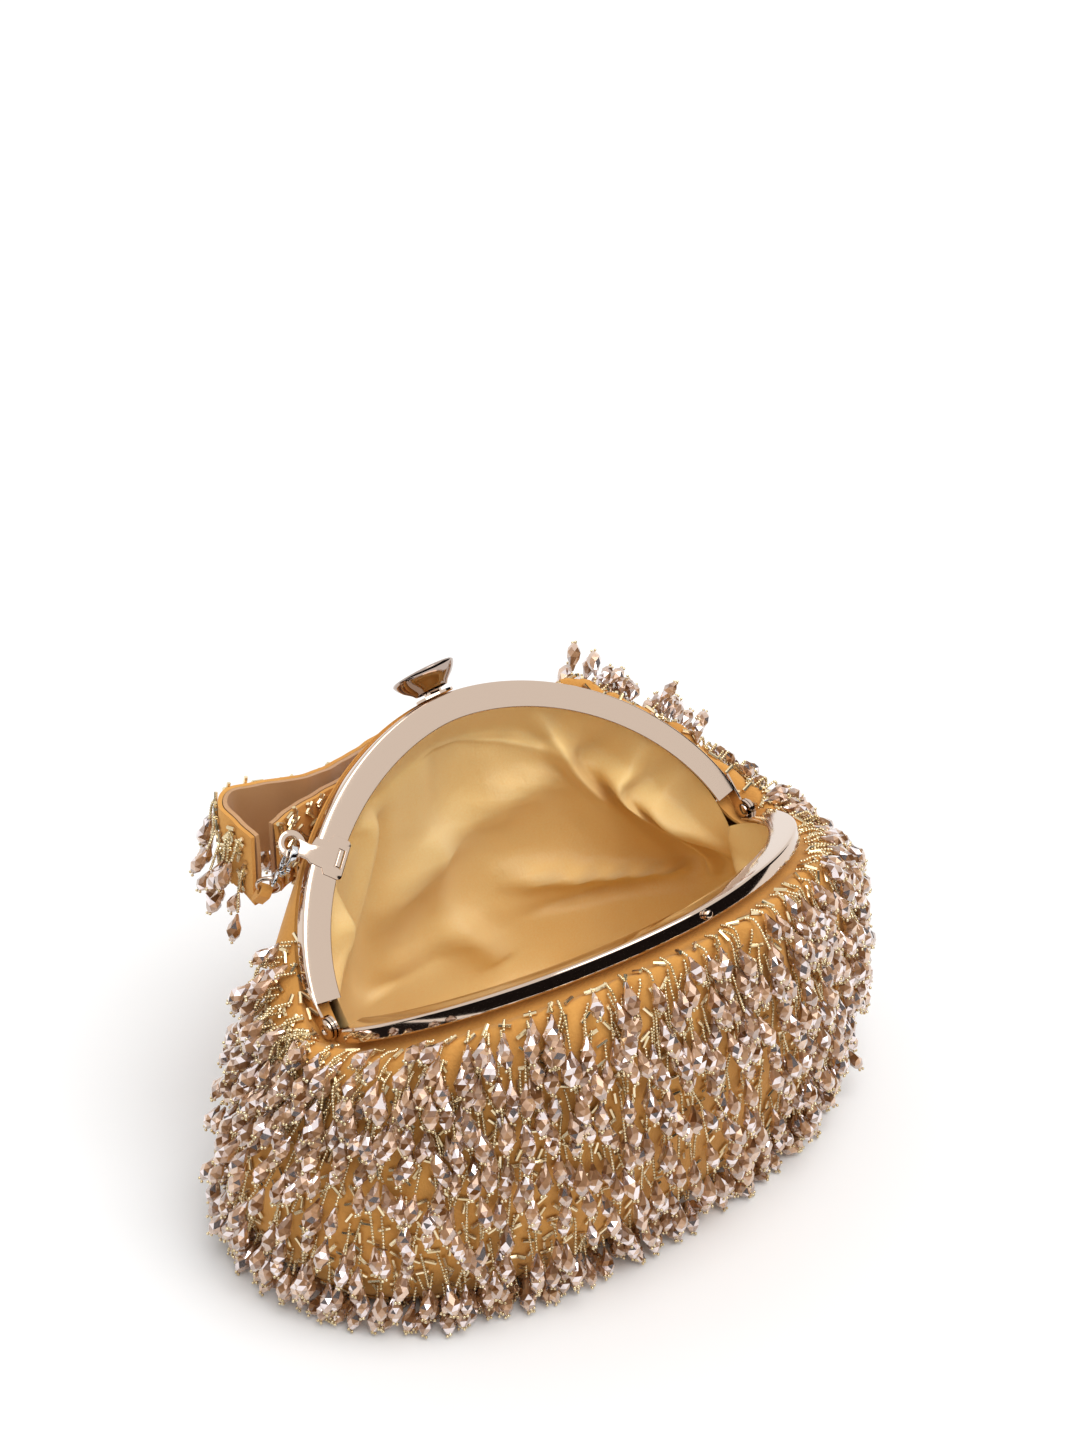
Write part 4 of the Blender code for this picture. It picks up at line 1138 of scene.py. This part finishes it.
def liningRows(columns):
    rows = []
    for number in lining["sections"]:
        row = []
        for c in columns:
            point = wallRow(number, c, lining["inset"])
            point.z = max(point.z, lining["floor"])
            row.append(point)
        rows.append(row)
    for number, brim in enumerate(pouch["liningBrim"]):
        rows.append([brimRow(brim, c, number=number) for c in columns])
    floor = []
    for share in (0.02, 0.35, 0.7, 0.9):
        floor.append([Vector((p.x * share, p.y * share, lining["floor"])) for p in rows[0]])
    return floor + rows


def foldHeight(c, level):
    total = 0.0
    for c0, l0, c1, l1, wide, high in lining["folds"]:
        ax, ay, bx, by = c0 / 24, l0, c1 / 24, l1
        dx, dy = bx - ax, by - ay
        px, py = c / 24 - ax, level - ay
        t = (px * dx + py * dy) / (dx * dx + dy * dy)
        t = min(1.0, max(0.0, t))
        off = math.hypot(px - t * dx, py - t * dy)
        fade = math.sin(math.pi * min(1.0, max(0.0, 0.12 + 0.8 * t))) ** 0.6
        total += high * mm * math.exp(-((off / wide) ** 2)) * fade
    turn = 2 * math.pi * c / 48
    soft = math.sin(7 * turn + 2.4 * level) + 0.6 * math.sin(13 * turn + 1.1 - 5 * level)
    soft += 0.5 * math.sin(29 * turn + 3 * level) * level**2
    total += lining["foldDepth"] * 0.35 * soft
    past = total + lining["deepest"]
    if past < 0:
        total = lining["ease"] * (math.exp(past / lining["ease"]) - 1) - lining["deepest"]
    return total


def liningPiece(name, first, last):
    columns = spread(first, last, 1 / 8)
    rows = refine(liningRows(columns), 10)
    floorRows = 40
    wall = len(rows) - 1 - floorRows
    for i, row in enumerate(rows):
        level = max(0.0, (i - floorRows) / wall)
        ease = min(1.0, level / 0.15) * min(1.0, (1 - level) / 0.22)
        for j, c in enumerate(columns):
            p = row[j]
            inward = Vector((-p.x / 2.2, -p.y, 0.35 * level * abs(p.y))).normalized()
            row[j] = p + inward * (foldHeight(c, level) * ease)
    return gridPiece(name, rows, "satin", None, 180)


rearLining = liningPiece("rearLining", 0, 24)
frontLining = liningPiece("frontLining", 24, 48)
print("lining made")

# wrist strap

strap = {
    "wide": 28 * mm,
    "layer": 1.5 * mm,
    "gap": 0.3 * mm,
    "ripple": 0.25 * mm,
    "steps": 220,
    "freeFrom": -76 * mm,  # the strap is clear of the pouch to the left of this
    "beadedTo": -30 * mm,
    "strandEvery": 6.5 * mm,
    "strandLevels": (0.8, 0.4, 0.0, -0.45),
    "route": (
        (-84.3, 57.2, 119),
        (-84.5, 66, 121),
        (-84.5, 75, 123),
        (-77, 81.5, 123),
        (-62, 80, 120.5),
        (-45, 78.5, 117),
        (-25, 84, 113),
        (-2, 92.5, 109),
        (18, 98.5, 106),
        (33, 97.5, 104),
        (38.5, 90.5, 103),
        (33, 84, 103),
        (16, 82.5, 105),
        (-8, 79, 109),
        (-30, 73.5, 113),
        (-52, 68, 116),
        (-66, 63.5, 118),
        (-75, 59.5, 119),
    ),
}


def smoothRoute(points, steps):
    ends = [2 * points[0] - points[1]] + points + [2 * points[-1] - points[-2]]
    fine = []
    for i in range(1, len(ends) - 2):
        for k in range(24):
            fine.append(through(*ends[i - 1 : i + 3], k / 24))
    fine.append(points[-1])
    lengths = [0.0]
    for a, b in zip(fine, fine[1:]):
        lengths.append(lengths[-1] + (b - a).length)
    found = []
    k = 0
    for i in range(steps + 1):
        want = lengths[-1] * i / steps
        while k < len(fine) - 2 and lengths[k + 1] < want:
            k += 1
        t = (want - lengths[k]) / max(lengths[k + 1] - lengths[k], 1e-9)
        found.append(fine[k].lerp(fine[k + 1], t))
    return found, lengths[-1]


def strapBand(name, look, start, belly, node):
    rows = []
    half = strap["wide"] / 2
    levels = spread(-1, 1, 0.2)
    for high in levels:
        row = []
        for i, (p, s) in enumerate(zip(strapRoute, strapSides)):
            swell = belly * (1 - high**4)
            ripple = strap["ripple"] * math.sin(i * 0.55) * math.sin(i * 0.13 + 2 * high)
            row.append(p + s * (start + swell + ripple) + Vector((0, 0, high * half)))
        rows.append(row)
    obj = gridPiece(name, rows, look, strap["layer"])
    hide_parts(node)
    return obj


strapRoute, strapLong = smoothRoute([Vector(p) * mm for p in reversed(strap["route"])], strap["steps"])
strapSides = []
for i in range(len(strapRoute)):
    ahead = strapRoute[min(i + 1, strap["steps"])] - strapRoute[max(i - 1, 0)]
    strapSides.append(ahead.cross(Vector((0, 0, 1))).normalized())
bandOut = strap["gap"] / 2 + strap["layer"]
strapOuter = strapBand("strapOuter", "velvet", bandOut, 0.4 * mm, "strap_band")
strapInner = strapBand("strapInner", "strapSatin", -strap["gap"] / 2, -0.2 * mm, "strap_lining")
print("strap made", round(strapLong, 3))

# beads: strands of seed beads, each with a faceted drop, and bugles between them

beads = {
    "seed": 0.62 * mm,  # half a seed bead's width
    "pitch": 1.12 * mm,
    "start": 0.9 * mm,  # how far off the cloth a strand starts
    "tip": 0.3 * mm,
    "tuft": 0.75 * mm,  # how far off the axis the three seeds at a drop's tip sit
    "slack": 0.6 * mm,
    "lowest": 0.8 * mm,
    "dropWide": 2.85 * mm,
    "dropHigh": 10.4 * mm,
    # spacing, kind, lowest and highest row of the cloth
    "layers": (
        (6.7 * mm, "strand", 0.35, 6.6),
        (4.6 * mm, "strand", 6.5, 7.7),
        (5.0 * mm, "bugle", 0.35, 7.5),
    ),
    "strand": (5, 17),  # seeds in a strand
    "bugle": (0.72 * mm, 4.4 * mm),
    "splay": 0.22,
    "sway": 0.16,
    # how far a drop is held off the cloth at most, how much more at the left, and the share behind
    "lift": 4.2 * mm,
    "leftLift": 0.9,
    "leftReach": 100 * mm,
    "rearLift": (45 * mm, 0.6),
    "clear": (1.0 * mm, 3.2 * mm),  # the least for seeds and for drops
    "dropSteps": 9,
    # the rear crest under the strap has no beads: the least y and z, and where they start in x
    "bare": (30 * mm, 84 * mm, 38 * mm),
    # the crest where drops stand up: the least z, and from where to where in x
    "standing": (86 * mm, 56 * mm, 100 * mm),
    "crest": 80 * mm,  # above this no strand runs in over the frame
    "footHigh": 32 * mm,  # strands that start below this are short
    "footStep": 5 * mm,
    "over": 5,  # steps that a strand runs outward over the roll
    "copies": 9000,  # most in one piece
}


def template(maker):
    maker()
    obj = bpy.context.active_object
    mesh = obj.data
    points = np.array([v.co for v in mesh.vertices])
    faces = [tuple(p.vertices) for p in mesh.polygons]
    bpy.data.objects.remove(obj, do_unlink=True)
    return points, faces


def makeSeed():
    bpy.ops.mesh.primitive_ico_sphere_add(subdivisions=1, radius=1)


def makeBugle():
    bpy.ops.mesh.primitive_cylinder_add(vertices=6, radius=1, depth=2)


def makeDrop():
    # a cut drop: six sides, its rings turned by half a side
    bpy.ops.mesh.primitive_circle_add(vertices=6, radius=0.16, fill_type="NGON")
    bpy.ops.object.mode_set(mode="EDIT")
    for radius, step in ((2.6, 0.20), (1.95, 0.26), (1.22, 0.18), (0.80, 0.18), (0.42, 0.18)):
        bpy.ops.mesh.select_mode(type="FACE")
        bpy.ops.mesh.extrude_region_move(TRANSFORM_OT_translate={"value": (0, 0, -step)})
        bpy.ops.transform.resize(value=(radius, radius, 1), center_override=(0, 0, 0))
        bpy.ops.transform.rotate(value=math.radians(30), orient_axis="Z", center_override=(0, 0, 0))
    bpy.ops.object.mode_set(mode="OBJECT")


seedShape = template(makeSeed)
bugleShape = template(makeBugle)
dropShape = template(makeDrop)


class Heap:
    # copies of one modelled piece, gathered into a mesh of their own
    def __init__(self, shape):
        self.shape = shape
        self.points = []
        self.faces = []
        self.tonesAndFacetLight = []

    def add(self, at, turn, size, tonesAndFacetLight):
        points, faces = self.shape
        offset = len(points) * len(self.points)
        self.points.append((points * np.array(size)) @ np.array(turn).T + np.array(at))
        self.faces += [tuple(i + offset for i in face) for face in faces]
        self.tonesAndFacetLight += tonesAndFacetLight

    def pieces(self, name, look, smooth):
        # the copies in pieces of at most so many
        most = beads["copies"]
        each = len(self.shape[1])
        made = []
        for number, first in enumerate(range(0, len(self.points), most)):
            points = np.concatenate(self.points[first : first + most])
            faces = self.faces[: len(self.points[first : first + most]) * each]
            tonesAndFacetLight = self.tonesAndFacetLight[first * each : (first + most) * each]
            mesh = meshFrom(name + "ABCDEF"[number], points, faces)
            # a random tone per face; on the drops it sets their painted glints and painted dark facets
            toneAndFacetLight = mesh.attributes.new("toneAndFacetLight", "FLOAT", "FACE")
            toneAndFacetLight.data.foreach_set("value", np.array(tonesAndFacetLight, np.float32))
            made.append(link(mesh.name, mesh, look, smooth))
            print(mesh.name, sum(len(face) - 2 for face in faces), "triangles")
        return made


def turnTo(way, spin=0.0):
    # a turn that brings -Z along the way given
    return (Vector((0, 0, -1)).rotation_difference(way).to_matrix() @ Matrix.Rotation(spin, 3, "Z"))


def strandPath(tree, start, normal, count, stands=False):
    # a strand that falls from its start, held off the cloth and the floor
    pitch = beads["pitch"]
    p = start + normal * beads["start"]
    away = Vector((p.x / 1.6, p.y, 0)).normalized()
    seedClear, dropClear = beads["clear"]
    fall = Vector((draw.normal(0, beads["sway"]), draw.normal(0, beads["sway"]), -1))
    if stands:
        fall = Vector((draw.normal(0.45, 0.35), draw.normal(0.4, 0.3), draw.uniform(-0.1, 0.6)))
    lift = draw.uniform(0.1, 1.0) ** 1.5 * beads["lift"]
    lift *= 1 + beads["leftLift"] * min(1.0, max(0.0, -p.x / beads["leftReach"]))
    if p.y > beads["rearLift"][0]:
        lift *= beads["rearLift"][1]
    way = (normal * 0.8 + fall * 0.5).normalized()
    if normal.z > 0.5 and not stands:
        way = (away + normal * 0.3).normalized()
    path = [p]
    for i in range(count + beads["dropSteps"]):
        way = (way * 0.45 + (fall + away * beads["splay"] * (i / count)) * 0.4).normalized()
        p = p + way * pitch
        near, n, face, distance = tree.find_nearest(p)
        if n.z > 0.5 and i < beads["over"] and not stands:
            # over the roll beside the frame a strand runs outward first
            way = (away + Vector((0, 0, 0.1))).normalized()
            p = path[-1] + way * pitch
        clear = seedClear + lift * min(1.0, i / count)
        if i > count:
            clear = dropClear + lift
        depth = (p - near).dot(n)
        if depth < clear:
            p = p + n * (clear - depth) * 0.5
        low = seedClear if i < count else dropClear
        if p.z < low:
            p.z = low
            fall = away * 0.5 + Vector((draw.normal(0, 0.5), draw.normal(0, 0.5), -0.1))
        step = p - path[-1]
        p = path[-1] + step.normalized() * pitch
        path.append(p)
    return path


def hangStrand(heaps, tree, start, normal, long=None, stands=False):
    seeds, drops = heaps[:2]
    count = long or int(draw.integers(*beads["strand"]))
    if start.z < beads["footHigh"]:
        count = min(count, 2 + int(start.z / beads["footStep"]))
    path = strandPath(tree, start, normal, count, stands)
    if path[-1].z < beads["lowest"]:
        return
    outward = Vector((start.x / 3, start.y, 0)).normalized()
    inward = min((p - start).dot(outward) for p in path) < -beads["slack"]
    if start.z > beads["crest"] and inward:
        return
    shade = float(draw.uniform(0.35, 1.0))
    for p in path[:count]:
        toneAndFacetLight = float(np.clip(shade + draw.normal(0, 0.25), 0, 1))
        spin = Matrix.Rotation(float(draw.uniform(0, 3)), 3, "Z")
        seeds.add(p, spin, (beads["seed"],) * 3, [toneAndFacetLight] * len(seedShape[1]))
    top = path[count]
    way = (path[-1] - top).normalized()
    size = float(draw.uniform(0.86, 1.06))
    high = beads["dropHigh"] * size
    wide = beads["dropWide"] * size
    # random per facet: picks the drop's painted glints and painted dark facets
    tonesAndFacetLight = list(np.clip(draw.uniform(0.0, 1.0, len(dropShape[1])), 0, 1))
    drops.add(top, turnTo(way, float(draw.uniform(0, 3))), (wide, wide, high), tonesAndFacetLight)
    tip = top + way * (high + beads["tip"])
    side = way.orthogonal().normalized()
    for k in range(3):
        off = Matrix.Rotation(k * 2.1 + shade * 6, 3, way) @ side
        at = tip + off * beads["tuft"] + way * 0.5 * mm * (k % 2)
        seeds.add(at, Matrix.Identity(3), (beads["seed"],) * 3, [shade] * len(seedShape[1]))


def layBugle(heap, at, normal):
    wide, long = beads["bugle"]
    side = normal.orthogonal().normalized()
    way = Matrix.Rotation(float(draw.uniform(0, math.pi)), 3, normal) @ side
    tonesAndFacetLight = [float(draw.uniform(0.2, 1))] * len(bugleShape[1])
    place = at + normal * wide * 1.1
    heap.add(place, turnTo(way), (wide, wide, long / 2), tonesAndFacetLight)


def anchors(first, last, low, high, spacing):
    # places over a stretch of the pouch, on a jittered grid, as points on its cloth
    rows = refine(outerRows(spread(first, last, 0.5)), 4)
    rows = rows[int(low * 4) : int(high * 4) + 1]
    found = []
    down = 0.0
    since = spacing
    for i in range(len(rows)):
        if i:
            down = max((a - b).length for a, b in zip(rows[i][::6], rows[i - 1][::6]))
            since += down
        if since < spacing * 0.9:
            continue
        since = 0.0
        along = float(draw.uniform(0, spacing))
        for j in range(1, len(rows[i])):
            along += (rows[i][j] - rows[i][j - 1]).length
            if along >= spacing:
                along -= spacing
                jitter = Vector([float(v) for v in draw.normal(0, spacing * 0.2, 3)])
                found.append(rows[i][j] + jitter)
    return found


def beadRegion(key, first, last):
    tree = outsides[key + "Cloth"]
    bareBehind, bareAbove, bareEnd = beads["bare"]
    standAbove, standFrom, standTo = beads["standing"]
    heaps = (Heap(seedShape), Heap(dropShape), Heap(bugleShape))
    for spacing, kind, low, high in beads["layers"]:
        for place in anchors(first, last, low, high, spacing):
            near, normal, face, distance = tree.find_nearest(place)
            if near.y > bareBehind and near.z > bareAbove and near.x < bareEnd:
                continue
            outward = Vector((near.x / 3, near.y, 0)).normalized()
            facing = normal.dot(outward)
            if normal.z < 0 and facing < 0 or facing < -0.88:
                continue
            if kind == "strand":
                stands = key == "rear" and near.z > standAbove and standFrom < near.x < standTo
                short = stands or low > 6 and draw.random() < 0.65
                few = (1, 5) if stands else (4, 10)
                long = int(draw.integers(*few)) if short else None
                hangStrand(heaps, tree, near, normal, long, stands)
            else:
                layBugle(heaps[2], near, normal)
    made = []
    for heap, name, look, smooth in (
        (heaps[0], key + "Seeds", "bead", 180),
        (heaps[1], key + "Drops", "drop", 1),
        (heaps[2], key + "Bugles", "bead", 40),
    ):
        made += heap.pieces(name, look, smooth)
    return made


frontBeads = beadRegion("front", 24, 48)
rearBeads = beadRegion("rear", 0, 24)


def strapBeads():
    heaps = (Heap(seedShape), Heap(dropShape), Heap(bugleShape))
    tree = outsides["strapOuter"]
    half = strap["wide"] / 2
    every = int(strap["steps"] * strap["strandEvery"] / strapLong)
    for i in range(2, strap["steps"] - 1, every):
        for level in strap["strandLevels"]:
            k = max(0, i + int(draw.integers(-3, 1)))
            high = Vector((0, 0, (level + float(draw.uniform(-0.15, 0.15))) * half))
            at = strapRoute[k] + strapSides[k] * (bandOut + 0.5 * mm) + high
            near, normal, face, distance = outsides["rearCloth"].find_nearest(at)
            touches = (at - near).dot(normal) < 1.5 * mm and at.x > strap["freeFrom"]
            if touches or at.x > strap["beadedTo"]:
                continue
            hangStrand(heaps, tree, at, strapSides[k], int(draw.integers(8, 13)))
            for side in range(4):
                where = at + Vector((0, 0, float(draw.uniform(-5, 2.5)) * mm))
                found, normal, face, distance = tree.find_nearest(where)
                layBugle(heaps[2], found, normal)
    made = heaps[0].pieces("strapSeeds", "bead", 180)
    made += heaps[1].pieces("strapDrops", "drop", 1)
    return made + heaps[2].pieces("strapBugles", "bead", 40)


strapSet = strapBeads()
print("beads made")

# how the pieces ride

for obj in (rearCloth, gussetLeft, gussetRight, rearLining, strapOuter, strapInner):
    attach(obj, "bag")
for obj in rearBeads + strapSet:
    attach(obj, "bag")
for obj in [frontCloth, frontLining] + frontBeads:
    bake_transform(obj)
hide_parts("rear_velvet", "left_gusset", "right_gusset", "pouch_shell")
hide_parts("front_velvet")
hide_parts("rear_lining", "base_lining")
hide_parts("front_lining")

# studio: floor, backdrop, lights and camera

studio = {
    "floor": 12.0,
    "floorColour": (0.92, 0.92, 0.92),
    "key": 1.9,
    "keySoft": math.radians(50),
    "keyFrom": (0.05, -0.42, 1.0),
    "world": 0.66,
    "cardDark": (0.015, 0.012, 0.012),
    # dark cards that only reflections show
    "card": (1.5, 0.95, 0.02),  # radius, height and foot of the dark half ring
    "cardCut": 0.3,
    "lowCard": 0.42,
    "lowCardAt": (-0.66, 0.05, 0.004),
}


def setStudio():
    world = bpy.data.worlds.new("studio")
    bpy.context.scene.world = world
    world.use_nodes = True
    tree = world.node_tree
    tree.nodes.clear()
    graph = Graph("floorWhite")
    path = tree.nodes.new("ShaderNodeLightPath")
    seen = path.outputs["Is Camera Ray"]
    for name in ("Is Glossy Ray", "Is Transmission Ray"):
        either = tree.nodes.new("ShaderNodeMath")
        either.operation = "MAXIMUM"
        tree.links.new(seen, either.inputs[0])
        tree.links.new(path.outputs[name], either.inputs[1])
        seen = either.outputs[0]
    level = tree.nodes.new("ShaderNodeMapRange")
    level.inputs["To Min"].default_value = studio["world"]
    level.inputs["To Max"].default_value = 1.0
    tree.links.new(seen, level.inputs["Value"])
    background = tree.nodes.new("ShaderNodeBackground")
    background.inputs["Color"].default_value = (1, 1, 1, 1)
    tree.links.new(level.outputs[0], background.inputs["Strength"])
    out = tree.nodes.new("ShaderNodeOutputWorld")
    tree.links.new(background.outputs[0], out.inputs["Surface"])

    bpy.ops.mesh.primitive_plane_add(size=studio["floor"])
    floor = bpy.context.active_object
    floor.name = "studioFloor"
    graph.set(Base_Color=(*studio["floorColour"], 1), Roughness=1.0, Specular_IOR_Level=0.0)
    floor.data.materials.append(graph.material)

    radius, high, foot = studio["card"]
    bpy.ops.mesh.primitive_cylinder_add(
        vertices=96, radius=radius, depth=high, end_fill_type="NOTHING"
    )
    card = bpy.context.active_object
    card.name = "darkCard"
    card.location = (0, 0, high / 2 + foot)
    bpy.ops.object.mode_set(mode="EDIT")
    bpy.ops.mesh.select_all(action="SELECT")
    bpy.ops.mesh.bisect(plane_co=(0, studio["cardCut"], 0), plane_no=(0, 1, 0), clear_outer=True)
    bpy.ops.object.mode_set(mode="OBJECT")
    cardGraph = Graph("darkCard")
    cardGraph.set(Base_Color=(*studio["cardDark"], 1), Roughness=1.0, Specular_IOR_Level=0.0)
    card.data.materials.append(cardGraph.material)
    bpy.ops.mesh.primitive_circle_add(vertices=64, radius=studio["lowCard"], fill_type="NGON")
    low = bpy.context.active_object
    low.name = "lowCard"
    low.location = studio["lowCardAt"]
    low.data.materials.append(cardGraph.material)
    for obj in (card, low):
        obj.visible_camera = False
        obj.visible_diffuse = False
        obj.visible_shadow = False
        obj.visible_transmission = False

    light = bpy.data.lights.new("keySun", "SUN")
    light.energy = studio["key"]
    light.angle = studio["keySoft"]
    sun = bpy.data.objects.new("keySun", light)
    bpy.context.scene.collection.objects.link(sun)
    sun.rotation_euler = Vector(studio["keyFrom"]).to_track_quat("Z", "Y").to_euler()


setStudio()

# the camera, as fitted to both bars' outlines in the photograph
view = {
    "place": Vector((-0.47311, -0.53158, 0.61597)),
    "azimuth": math.radians(41.37),
    "elevation": math.radians(31.96),
    "lens": 62.2,
}


def setCamera():
    a, e = view["azimuth"], view["elevation"]
    back = Vector((-math.sin(a) * math.cos(e), -math.cos(a) * math.cos(e), math.sin(e)))
    right = Vector((math.cos(a), -math.sin(a), 0))
    camera = bpy.data.cameras.new("photoCamera")
    camera.lens = view["lens"]
    camera.sensor_width = 36
    camera.clip_start = 0.01
    obj = bpy.data.objects.new("photoCamera", camera)
    bpy.context.scene.collection.objects.link(obj)
    obj.matrix_world = basis(right, back.cross(right), back, view["place"])
    bpy.context.scene.camera = obj


setCamera()
bpy.context.scene.view_settings.view_transform = "Standard"
print("studio set")
